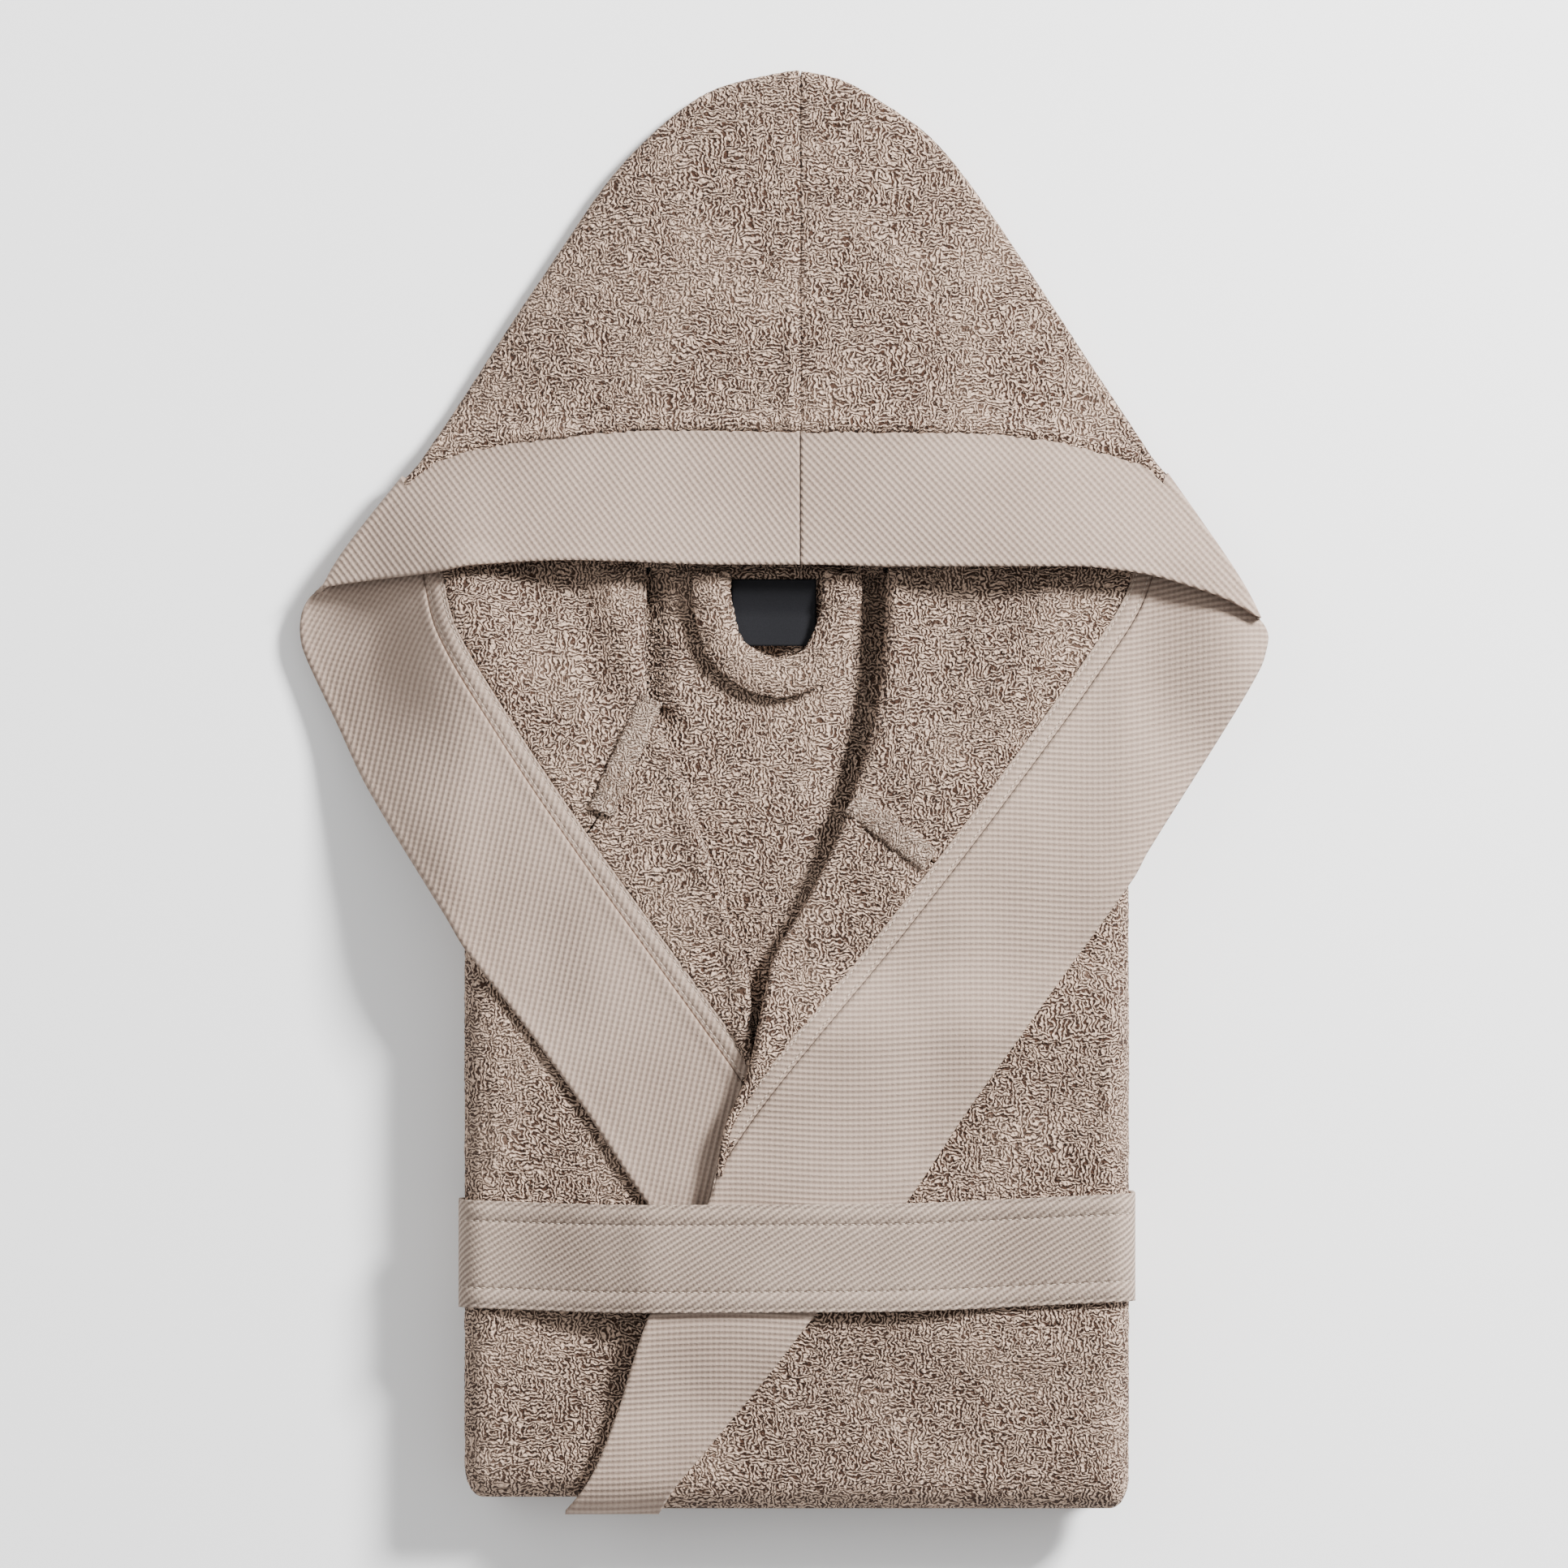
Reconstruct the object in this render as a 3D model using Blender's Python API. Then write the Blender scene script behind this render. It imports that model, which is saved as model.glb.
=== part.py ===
"""Hooded terry bathrobe, folded and belted, lying face up on a flat surface.

Frame: metres, +Z up, +Y towards the hood's crown, origin at the middle of the footprint.
The working unit below is the millimetre; object meshes are made in metres.
Every sheet is a middle surface, worked out from the bundle's height and the layer steps
below, and given its wall by a Solidify modifier.
"""

import math

import bmesh
import bpy
from mathutils import Vector

MM = 0.001

# Walls
TERRY = 3.0
BAND = 2.0
BELT = 2.4
TRIM = 1.4
LABEL = 0.8

# Heights of the bundle and the steps between its layers
TOP_AT_BELT = 44.0
TOP_AT_NAPE = 22.0
FALL_FROM = -50.0
NAPE_Y = 111.0
SHEET_GAP = 0.6
LAYER_STEP = 3.9
BACK_DROP = 4.2
CROSS_RISE = 8.2
UNDER_RISE = 4.2

# Plan of the bundle
BODY_LEFT = -158.0
BODY_RIGHT = 170.5
BODY_END_LEFT = -349.0
BODY_END_RIGHT = -354.5
END_RADIUS = 14.0
PLAN_CORNER = 8.0
LOWER_TOP = 18.0
LOBE_LEAST = 3.0
FOLD_OPEN = 3.6
FACE_HOLLOW = 0.5

# Hood
HOOD_SEAM_X = 8.0
BRIM_HEIGHT = 40.0
CROWN_HEIGHT = 11.0
EDGE_OPEN = 8.0
FLOOR_MID = 1.9
FLOOR_FROM = 192.0
OVERHANG_Z = 8.0

# Belt
BELT_TOP_Y = -202.5
BELT_WIDTH = 53.0
BELT_RECESS = 6.6
BELT_MARGIN = 6.0

# Outlines, in x, y pairs from the crown down, or along the named edge
HOOD_LEFT = [(5, 358), (-33, 349), (-51, 338), (-71, 320), (-88, 301), (-102, 280),
             (-131, 237), (-164, 186), (-181, 161)]
HOOD_RIGHT = [(5, 358), (26, 354), (51, 340), (73, 324), (93, 299), (109, 276), (151, 212),
              (180, 168)]
BRIM_SEAM = [(-189, 151), (-172, 164), (-144, 172), (-106, 177), (-64, 180), (12, 179),
             (60, 179), (101, 178), (134, 174), (159, 168), (180, 161), (189, 153)]
BRIM_EDGE = [(-239, 94), (-232, 98), (-214, 102), (-186, 106), (-150, 112), (-106, 114),
             (-31, 112), (8, 112), (60, 111), (142, 110), (159, 110), (184, 105),
             (209, 98), (231, 89), (237, 85)]
FREE_LEFT = [(-239, 86), (-240, 78), (-237, 68), (-221, 33), (-206, 2), (-167, -61),
             (-157, -78), (-129, -114), (-100, -154), (-69, -201), (-45, -234)]
GROOVE_LEFT = [(-181, 152), (-180, 130), (-178, 106), (-171, 78), (-147, 36), (-107, -24),
               (-42, -114), (-26, -136), (-5, -166)]
ROLL_LEFT = [(-67, 42), (-58, 24), (-51, 10), (-41, -20), (-27, -62), (-17, -90),
             (-15, -126), (-8, -180), (0, -360)]
FREE_RIGHT = [(237, 82), (239, 76), (231, 54), (217, 30), (179, -30), (172, -43), (136, -93),
              (91, -156), (61, -201), (14, -259), (-10, -290), (-38, -324), (-54, -343),
              (-62, -356)]
GROOVE_RIGHT = [(183, 157), (184, 130), (182.5, 106), (170, 79), (109, -6), (53, -78),
                (-4, -147), (-31, -186), (-37, -202), (-67, -260), (-82, -306),
                (-94, -336), (-108, -356)]
ROLL_RIGHT = [(52, 110), (50, 72), (46, 41), (34, -2), (23, -30), (8, -59), (-7, -86),
              (-11, -106), (-19, -141), (-30, -167), (-37, -202), (-67, -260), (-82, -306),
              (-98, -344), (-104, -360)]
NECK_LEFT = [(-67, 42), (-91, -12), (-104, -30)]
NECK_RIGHT = [(36, -7), (73, -35), (82, -42)]
LOOP_MIDDLE = [(-36, 108), (-35, 90), (-27, 68), (-6, 56), (16, 63), (27, 86), (29, 108)]
LOOP_WIDTH = 18.0
LABEL_BOX = (-26, 72, 16, 105)


def smooth(value):
    """The smooth step of a value held between 0 and 1."""
    held = min(max(value, 0.0), 1.0)
    return held * held * (3.0 - 2.0 * held)


def mix(first, second, share):
    """The value that lies at a share of the way between two."""
    return first + (second - first) * share


def spread(start, end, count):
    """Evenly spaced values from start to end, both included."""
    return [mix(start, end, i / (count - 1)) for i in range(count)]


def at_y(outline, y):
    """The x of an outline at one y."""
    points = sorted(outline, key=lambda point: point[1])
    if y <= points[0][1]:
        return points[0][0]
    for (x0, y0), (x1, y1) in zip(points, points[1:]):
        if y <= y1:
            return mix(x0, x1, (y - y0) / max(y1 - y0, 1e-6))
    return points[-1][0]


def at_x(outline, x):
    """The y of an outline at one x."""
    return at_y([(b, a) for a, b in outline], x)


def along(outline, share, rounded=True):
    """The point at a share of an outline's length, and whether its corners are rounded."""
    lengths = [math.dist(a, b) for a, b in zip(outline, outline[1:])]
    left = share * sum(lengths)
    last = len(lengths) - 1
    for i, length in enumerate(lengths):
        if left <= length or i == last:
            break
        left -= length
    t = min(left / lengths[i], 1.0)
    p0 = outline[max(i - 1, 0)]
    p1, p2 = outline[i], outline[i + 1]
    p3 = outline[min(i + 2, last + 1)]
    span = lengths[i]
    if not rounded:
        return mix(p1[0], p2[0], t), mix(p1[1], p2[1], t)
    before = math.dist(p0, p1) or span
    after = math.dist(p2, p3) or span
    point = []
    for a, b, c, d in zip(p0, p1, p2, p3):
        m1 = (c - a) / (before + span) * span
        m2 = (d - b) / (span + after) * span
        h = t * t * (3 - 2 * t)
        point.append(b * (1 - h) + c * h + m1 * t * (1 - t) ** 2 - m2 * t * t * (1 - t))
    return point[0], point[1]


def top(y):
    """The height of the bundle's upper face."""
    return mix(TOP_AT_BELT, TOP_AT_NAPE, smooth((FALL_FROM - y) / (FALL_FROM - NAPE_Y)))


def rise(y):
    """How far the right front lies above the bundle, where the left one passes below."""
    above = CROSS_RISE * smooth((-78 - y) / 46)
    return above - (CROSS_RISE - UNDER_RISE) * smooth((-264 - y) / 44)


def lobe(y):
    """The radius of the upper fold along each side."""
    return max((top(y) - LOWER_TOP - FOLD_OPEN) / 2, LOBE_LEAST)


def lower_top(y):
    """The height of the lower fold, below the open line along the side."""
    return top(y) - 2 * lobe(y) - FOLD_OPEN


def overhang(x, z):
    """How far a lapel that passes the bundle's side sinks towards the surface."""
    past = max(BODY_LEFT + 6 - x, x - BODY_RIGHT + 6, 0.0)
    return max(z - OVERHANG_Z, 0.0) * smooth(past / 92)


def lapel(x, y, right):
    """The middle height of a lapel or band, and of the hood's lower layer beyond it."""
    z = top(y) + SHEET_GAP + TERRY / 2 + LAYER_STEP + (rise(y) if right else 0.0)
    z -= overhang(x, z)
    return mix(FLOOR_MID, z, smooth((FLOOR_FROM - y) / 100))


def hood_under(x, y):
    """The hood's lower layer: it dips to the nape between the two cheeks."""
    nape = smooth((60 - abs(x + 7)) / 10) * smooth((134 - y) / 24)
    drop = LAYER_STEP + BACK_DROP
    return lapel(x, y, x > HOOD_SEAM_X) - drop * nape


def hood_over(x, y):
    """The hood's upper layer: open at the brim, close to the lower one at the outline."""
    side = HOOD_LEFT + [(-239, 90)] if x < HOOD_SEAM_X else HOOD_RIGHT + [(238, 84)]
    reach = at_y(side, y) - HOOD_SEAM_X
    share = min(abs((x - HOOD_SEAM_X) / reach), 1.0) if abs(reach) > 1 else 1.0
    middle = mix(BRIM_HEIGHT, CROWN_HEIGHT, (y - NAPE_Y) / (358 - NAPE_Y))
    low = lapel(x, y, x > HOOD_SEAM_X)
    return low + EDGE_OPEN + max(middle - low - EDGE_OPEN, 0.0) * (1 - share ** 2.5)


def end_roll(row):
    """A row's y offset from the end, its drop and its corner inset, in the end's roll."""
    radius = END_RADIUS + SHEET_GAP + TERRY / 2
    angle = math.radians(row)
    return (radius * (1 - math.cos(angle)), radius * (1 - math.sin(angle)),
            PLAN_CORNER * (1 - math.sin(angle)))


def sum_drop(side, end):
    """The drop at a corner, close to the larger of the two."""
    return (side ** 4 + end ** 4) ** 0.25


def material(name, colour, rough):
    """A plain Principled material."""
    made = bpy.data.materials.new(name)
    made.use_nodes = True
    shader = made.node_tree.nodes["Principled BSDF"]
    shader.inputs["Base Color"].default_value = (*colour, 1.0)
    shader.inputs["Roughness"].default_value = rough
    made.diffuse_color = (*colour, 1.0)
    return made


def add_object(name, mesh, finish):
    """An object of one mesh, with its material, shaded smooth."""
    mesh.materials.append(finish)
    mesh.shade_smooth()
    made = bpy.data.objects.new(name, mesh)
    bpy.context.scene.collection.objects.link(made)
    return made


def sheet(name, grids, wall, finish):
    """A cloth wall on one or more grids of middle points, welded where they meet."""
    bm = bmesh.new()
    for grid, kept in grids:
        verts = [[bm.verts.new(Vector(point) * MM) for point in row] for row in grid]
        for i in range(len(grid) - 1):
            for j in range(len(grid[i]) - 1):
                if kept is None or kept(i, j):
                    bm.faces.new((verts[i][j], verts[i][j + 1], verts[i + 1][j + 1],
                                  verts[i + 1][j]))
    bmesh.ops.remove_doubles(bm, verts=bm.verts, dist=0.05 * MM)
    loose = [vert for vert in bm.verts if not vert.link_faces]
    bmesh.ops.delete(bm, geom=loose, context="VERTS")
    bmesh.ops.recalc_face_normals(bm, faces=bm.faces)
    mesh = bpy.data.meshes.new(name)
    bm.to_mesh(mesh)
    bm.free()
    made = add_object(name, mesh, finish)
    solidify = made.modifiers.new("Wall", "SOLIDIFY")
    solidify.thickness = wall * MM
    solidify.offset = 0.0
    solidify.use_even_offset = False
    solidify.thickness_clamp = 0.0
    return made


def body_rows(upper):
    """The rows of the bundle: y and the end roll's angle, from the lower end up."""
    rolled = [(None, angle) for angle in (-8, 14, 34, 52, 70)]
    belt_low = BELT_TOP_Y - BELT_WIDTH - BELT_MARGIN
    belt_high = BELT_TOP_Y + BELT_MARGIN
    places = spread(-335, belt_low - 8, 5) + [belt_low - 0.9, belt_low + 0.9]
    places += [-243, -229, -215] + [belt_high - 0.9, belt_high + 0.9]
    places += spread(belt_high + 10, upper, 15)
    flat = [(y, 90.0) for y in places]
    return rolled + flat


def front_section(y, angle, right):
    """One row of a front: side roll, top to the roll line, the turn and the lapel back."""
    y_in, drop_end, inset = end_roll(angle)
    row_y = y if y is not None else BODY_END_LEFT + TERRY / 2 + y_in
    if y is None and right:
        row_y += BODY_END_RIGHT - BODY_END_LEFT
    sign = 1 if right else -1
    edge = BODY_RIGHT if right else -BODY_LEFT
    lift = rise(row_y) if right else 0.0
    high = top(row_y) + lift + SHEET_GAP + TERRY / 2
    radius = lobe(row_y) + SHEET_GAP + TERRY / 2
    centre = edge - TERRY / 2 - inset - radius
    tall = radius + lift / 2
    points = []
    for turn in (-76, -54, -30, -6, 18, 42, 66):
        out = math.radians(turn)
        drop = sum_drop(tall * (1 - math.sin(out)), drop_end)
        points.append((sign * (centre + radius * math.cos(out)), row_y, high - drop))
    roll = at_y(ROLL_RIGHT if right else ROLL_LEFT, row_y)
    turn_radius = LAYER_STEP / 2
    start = roll + sign * (turn_radius + TERRY / 2)
    for x in spread(sign * centre, start, 9):
        points.append((x, row_y, high - drop_end))
    for turn in (40, 90, 140):
        out = math.radians(turn)
        points.append((start - sign * turn_radius * math.sin(out), row_y,
                       high - drop_end + turn_radius * (1 - math.cos(out))))
    groove = at_y(GROOVE_RIGHT if right else GROOVE_LEFT, row_y)
    strip = at_y(NECK_RIGHT if right else NECK_LEFT, row_y)
    end = min(groove, strip) if right else max(groove, strip)
    end -= sign * 0.5
    least = start + sign * 2.0
    end = max(end, least) if right else min(end, least)
    for x in spread(start, end, 4):
        z = lapel(x, row_y, right)
        points.append((x, row_y, z - drop_end))
    return points


def make_front(name, right, finish):
    """A front: it wraps the bundle's side and end and turns out as the lapel."""
    upper = -14.0 if right else 30.0
    last = -162.0 if right else -128.0
    rows = body_rows(upper)
    grid = [front_section(y, angle, right) for y, angle in rows]
    turn_from = 7 + 9 - 1

    def kept(i, j):
        return j < turn_from or grid[i][j][1] > last

    return sheet(name, [(grid, kept)], TERRY, finish)


def block_columns(y):
    """The x places across the bundle's upper face, from left to right."""
    radius = lobe(y)
    inner_left = BODY_LEFT + TERRY + SHEET_GAP + radius
    inner_right = BODY_RIGHT - TERRY - SHEET_GAP - radius
    left = at_y(ROLL_LEFT, y)
    right = at_y(ROLL_RIGHT, y)
    return inner_left, inner_right, left, right


def hollow(x):
    """How far the hidden layers' upper face sinks between the two sides."""
    return FACE_HOLLOW * (1 - (x / BODY_RIGHT) ** 2)


def block_section(y, angle):
    """One closed section of the hidden layers: an upper fold, a groove, a lower fold."""
    angle_in = math.radians(angle)
    end_in = END_RADIUS * (1 - math.cos(angle_in))
    drop_end = END_RADIUS * (1 - math.sin(angle_in))
    inset = PLAN_CORNER * (1 - math.sin(angle_in))
    row_y = y
    if y is None:
        row_y = BODY_END_LEFT + TERRY + SHEET_GAP + end_in
    radius = lobe(row_y)
    high = top(row_y)
    inner_left, inner_right, roll_left, roll_right = block_columns(row_y)
    inner_left += inset
    inner_right -= inset
    lift = rise(row_y)
    points = []
    for turn in (-90, -60, -30, 0, 30, 60, 90):
        out = math.radians(turn)
        drop = sum_drop(radius * (1 - math.sin(out)), drop_end)
        points.append((inner_left - radius * math.cos(out), high - drop))
    hidden = max(roll_left + 3.0, roll_right + 26.0)
    sunk = BACK_DROP * smooth((row_y + 170) / 20)
    valley_left = roll_left - 15.0
    valley_right = roll_right + 15.0
    if row_y > -132:
        stops = [(valley_left - 10, 0.0), (valley_left, -sunk),
                 (mix(valley_left, valley_right, 0.5), -sunk), (valley_right, -sunk),
                 (valley_right + 10, lift)]
    else:
        first = min(valley_left, hidden - 30)
        stops = [(first - 10, 0.0), (first, 0.0), (mix(first, hidden, 0.5), 0.0),
                 (hidden, 0.0), (hidden + 10, lift)]
    for x in spread(inner_left + 12, stops[0][0] - 6, 5):
        points.append((x, high - drop_end - hollow(x)))
    points += [(x, high + z - drop_end - hollow(x)) for x, z in stops]
    for x in spread(stops[-1][0] + 8, inner_right - 12, 5):
        points.append((x, high + lift - drop_end - hollow(x)))
    tall = radius + lift / 2
    for turn in (90, 60, 30, 0, -30, -60, -90):
        out = math.radians(turn)
        drop = sum_drop(tall * (1 - math.sin(out)), drop_end)
        points.append((inner_right + radius * math.cos(out), high + lift - drop))
    belt = BELT_TOP_Y + BELT_MARGIN > row_y > BELT_TOP_Y - BELT_WIDTH - BELT_MARGIN
    floor = BELT_RECESS if belt else 0.0
    lower = lower_top(row_y)
    half = (lower - floor) / 2
    right_in = BODY_RIGHT - 1.0 - inset - half
    left_in = BODY_LEFT + 1.0 + inset + half
    points.append((inner_right - 6, high - 2 * radius))
    points.append((inner_right - 6, lower))
    for turn in (90, 60, 30, 0, -30, -60, -90):
        out = math.radians(turn)
        points.append((right_in + half * math.cos(out), floor + half * (1 + math.sin(out))))
    for turn in (-90, -60, -30, 0, 30, 60, 90):
        out = math.radians(turn)
        points.append((left_in - half * math.cos(out), floor + half * (1 + math.sin(out))))
    points.append((inner_left + 6, lower))
    points.append((inner_left + 6, high - 2 * radius))
    return [(x, row_y, z) for x, z in points]


def make_block(finish):
    """The hidden folded layers, as one solid with a fold line along each side."""
    rows = [row for row in body_rows(94.0) if row[1] > 10]
    grid = [block_section(y, angle) for y, angle in rows]
    bm = bmesh.new()
    rings = [[bm.verts.new(Vector(point) * MM) for point in row] for row in grid]
    count = len(rings[0])
    for ring, following in zip(rings, rings[1:]):
        for j in range(count):
            k = (j + 1) % count
            bm.faces.new((ring[j], ring[k], following[k], following[j]))
    for ring in (rings[0], rings[-1]):
        rim = [bm.edges.get((ring[j - 1], ring[j])) for j in range(count)]
        bmesh.ops.triangle_fill(bm, edges=rim, use_beauty=False)
    bmesh.ops.recalc_face_normals(bm, faces=bm.faces)
    mesh = bpy.data.meshes.new("folded_layers")
    bm.to_mesh(mesh)
    bm.free()
    return add_object("folded_layers", mesh, finish)


def make_back(finish):
    """The inside of the back, in the V between the two roll lines up to the nape."""
    grid = []
    for y in spread(-124, NAPE_Y - 1, 19):
        hidden = 11.0 if y < 90 else -5.0
        left = (at_y(ROLL_LEFT, y) if y < 42 else -69.0) - hidden
        right = at_y(ROLL_RIGHT, y) + hidden
        z = top(y) - BACK_DROP + SHEET_GAP + TERRY / 2
        grid.append([(x, y, z) for x in spread(left, right, 7)])
    return sheet("back", [(grid, None)], TERRY, finish)


def cheek_slide(x, y, right):
    """How far a cheek's inner columns follow the right roll line inwards."""
    if not right:
        return 0.0
    return (at_y(ROLL_RIGHT, y) - ROLL_RIGHT[0][0]) * smooth((112 - x) / 60)


def cheek_end(x, right):
    """The y where a cheek ends at x: on the groove of the band or on the neck seam."""
    groove = at_x(GROOVE_RIGHT if right else GROOVE_LEFT, x)
    neck = NECK_RIGHT if right else NECK_LEFT
    if abs(x) < abs(neck[-1][0]):
        groove = max(groove, at_x(neck, x))
    return groove + 1.0


def hood_column(x, right):
    """The points of one column of the hood, from brim seam over the fold to its lower end."""
    outline = HOOD_RIGHT if right else HOOD_LEFT
    out = at_x(outline, x) - TERRY / 2
    seam = at_x(BRIM_SEAM, x) + 0.4
    radius = EDGE_OPEN / 2
    lean = 1 if right else -1
    turned = out - radius
    points = [(x, y, hood_over(x, y)) for y in spread(seam, max(turned, seam + 1), 9)]
    base = points[-1]
    under = hood_under(x, base[1])
    for angle in (36, 72, 108, 144):
        a = math.radians(angle)
        z = mix(under, base[2], (1 + math.cos(a)) / 2)
        points.append((x + lean * 0.3 * math.sin(a), base[1] + radius * math.sin(a), z))
    points += [(x, y, hood_under(x, y)) for y in spread(base[1], NAPE_Y, 11)]
    low = NAPE_Y - 4
    for _ in range(14):
        low = mix(low, cheek_end(x + cheek_slide(x, low, right), right), 0.7)
    if abs(x + 8) < 59:
        low = NAPE_Y - 4
    for y in spread(NAPE_Y, low, 9)[1:]:
        place = x + cheek_slide(x, y, right)
        points.append((place, y, lapel(place, y, right)))
    return points


def make_hood(name, right, finish):
    """Half of the hood: upper layer, fold round the outline and lower layer with a cheek."""
    if right:
        places = spread(HOOD_SEAM_X + 0.3, 44, 4) + spread(52, 179.3, 15)
        cheek_from = 4
    else:
        places = spread(HOOD_SEAM_X - 0.3, -62, 6) + spread(-69, -176.3, 13)
        cheek_from = 6
    columns = [hood_column(x, right) for x in places]
    lower_from = 9 + 4 + 11 - 1

    def kept(i, j):
        return j < lower_from or i >= cheek_from

    return sheet(name, [(columns, kept)], TERRY, finish)


def end_wrap(y):
    """The drop of the right band where it wraps the bundle's lower end."""
    inner = END_RADIUS + SHEET_GAP + TERRY / 2
    radius = inner + LAYER_STEP
    past = min(max(BODY_END_RIGHT + TERRY / 2 + inner - y, 0.0), radius * 0.985)
    return radius - math.sqrt(radius ** 2 - past ** 2)


def make_band(name, right, finish):
    """The band: along the brim, folded round the hood's corner, then down the front."""
    seam_out = (182.5, 159) if right else (-181, 160)
    free_out = (237, 88) if right else (-238, 92)
    lean = 1 if right else -1
    grid = []
    across = 7
    start = HOOD_SEAM_X + lean * 0.25
    for share in spread(0, 1, 15):
        x_seam = mix(start, seam_out[0], share)
        x_free = mix(start, free_out[0], share)
        y_seam = at_x(BRIM_SEAM, x_seam) - 0.4
        y_free = at_x(BRIM_EDGE, x_free)
        row = []
        for part in spread(0, 1, across):
            x = mix(x_seam, x_free, part)
            y = mix(y_seam, y_free, part)
            row.append((x, y, hood_over(x, y)))
        grid.append(row)
    edge = grid[-1]
    radius = EDGE_OPEN / 2
    for angle in (36, 72, 108, 144):
        a = math.radians(angle)
        row = []
        for x, y, z in edge:
            low = lapel(x, y, right)
            row.append((x + lean * radius * 0.75 * math.sin(a), y + radius * 0.6 * math.sin(a),
                        mix(low, z, (1 + math.cos(a)) / 2)))
        grid.append(row)
    free = FREE_RIGHT if right else FREE_LEFT
    groove = GROOVE_RIGHT if right else GROOVE_LEFT
    shares = spread(0, 0.945, 30) + spread(0.955, 1.0, 9) if right else spread(0, 1, 26)
    for share in shares:
        if share == 0:
            a, b = seam_out, free_out
        else:
            a, b = along(groove, share, False), along(free, share)
        row = []
        for part in spread(0, 1, across):
            x = mix(a[0], b[0], part)
            y = mix(a[1], b[1], part)
            row.append((x, y, lapel(x, y, right) - end_wrap(y)))
        grid.append(row)
    return sheet(name, [(grid, None)], BAND, finish)


def make_neck_seam(name, right, finish):
    """The strip of seam allowance where the hood's cheek meets the lapel."""
    line = NECK_RIGHT[:2] if right else NECK_LEFT[:2]
    (x0, y0), (x1, y1) = line
    length = math.dist(*line)
    side = ((y1 - y0) / length, -(x1 - x0) / length)
    lift = TERRY / 2 + TRIM / 2 + 0.9
    grid = []
    for share in spread(0.07, 0.93, 7):
        row = []
        for part in spread(-4.2, 4.2, 4):
            x = mix(x0, x1, share) + side[0] * part
            y = mix(y0, y1, share) + side[1] * part
            row.append((x, y, lapel(x, y, right) + lift))
        grid.append(row)
    return sheet(name, [(grid, None)], TRIM, finish)


def make_loop(finish):
    """The hanging loop: a terry strip in a U that lies over the label."""
    lift = TERRY / 2 + LABEL + 0.5 + TERRY / 2
    grid = []
    for share in spread(0, 1, 21):
        x, y = along(LOOP_MIDDLE, share)
        x2, y2 = along(LOOP_MIDDLE, min(share + 0.02, 1.0))
        x1, y1 = along(LOOP_MIDDLE, max(share - 0.02, 0.0))
        length = math.dist((x1, y1), (x2, y2))
        side = ((y2 - y1) / length, -(x2 - x1) / length)
        row = []
        for part in spread(-0.5, 0.5, 4):
            px = x + side[0] * part * LOOP_WIDTH
            py = y + side[1] * part * LOOP_WIDTH
            z = top(py) - BACK_DROP + SHEET_GAP + TERRY / 2 + lift
            row.append((px, py, z))
        grid.append(row)
    return sheet("hanging_loop", [(grid, None)], TERRY, finish)


def make_label(finish):
    """The bare label between the loop's ends."""
    x0, y0, x1, y1 = LABEL_BOX
    grid = []
    for y in spread(y0, y1, 5):
        z = top(y) - BACK_DROP + SHEET_GAP + TERRY + LABEL / 2 + 0.3
        grid.append([(x, y, z) for x in spread(x0, x1, 4)])
    return sheet("label", [(grid, None)], LABEL, finish)


def belt_route():
    """The belt's round: under the bundle, up the left side, across and down the right."""
    low = BELT / 2
    second = low + BELT + 0.5
    left = BODY_LEFT - BELT / 2 - 0.4
    right = BODY_RIGHT + BELT / 2 + 0.4
    base = top(BELT_TOP_Y) + SHEET_GAP + TERRY + 0.5 + BELT / 2
    lift = rise(BELT_TOP_Y)
    clear = LAYER_STEP + 0.2
    bend = 13.0
    route = [(40, second), (0, second), (-40, second), (-66, second), (-88, low),
             (-110, low), (left + bend, low)]
    for turn in (30, 60, 90):
        a = math.radians(turn)
        route.append((left + bend - bend * math.sin(a), low + bend * (1 - math.cos(a))))
    for turn in (90, 60, 30, 0):
        a = math.radians(turn)
        route.append((left + bend - bend * math.sin(a), base - bend * (1 - math.cos(a))))
    route += [(-124, base), (-104, base + 1), (-90, base + 5), (-78, base + 12),
              (-68, base + lift + clear), (0, base + lift + clear),
              (62, base + lift + clear), (84, base + lift + 2), (110, base + lift),
              (right - bend, base + lift)]
    for turn in (30, 60, 90):
        a = math.radians(turn)
        route.append((right - bend + bend * math.sin(a),
                      base + lift - bend * (1 - math.cos(a))))
    for turn in (90, 60, 30, 0):
        a = math.radians(turn)
        route.append((right - bend + bend * math.sin(a), low + bend * (1 - math.cos(a))))
    route += [(100, low), (40, low), (-20, low), (-56, low)]
    return route


def make_belt(finish):
    """The belt: one strip wound round the bundle, its ends overlapping underneath."""
    slope = [(-158, -201.5), (-80, -203.5), (40, -203), (171, -198)]
    grid = []
    for x, z in belt_route():
        upper = at_x(slope, x)
        grid.append([(x, y, z) for y in spread(upper, upper - BELT_WIDTH, 5)])
    return sheet("belt", [(grid, None)], BELT, finish)


def centre_footprint():
    """Move every piece alike, so that the origin is the middle of the robe's footprint."""
    bpy.context.view_layer.update()
    corners = [made.matrix_world @ Vector(corner) for made in bpy.data.objects
               for corner in made.bound_box]
    middle = [(min(c[k] for c in corners) + max(c[k] for c in corners)) / 2 for k in (0, 1)]
    for made in bpy.data.objects:
        made.location = (-middle[0], -middle[1], 0.0)


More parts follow.
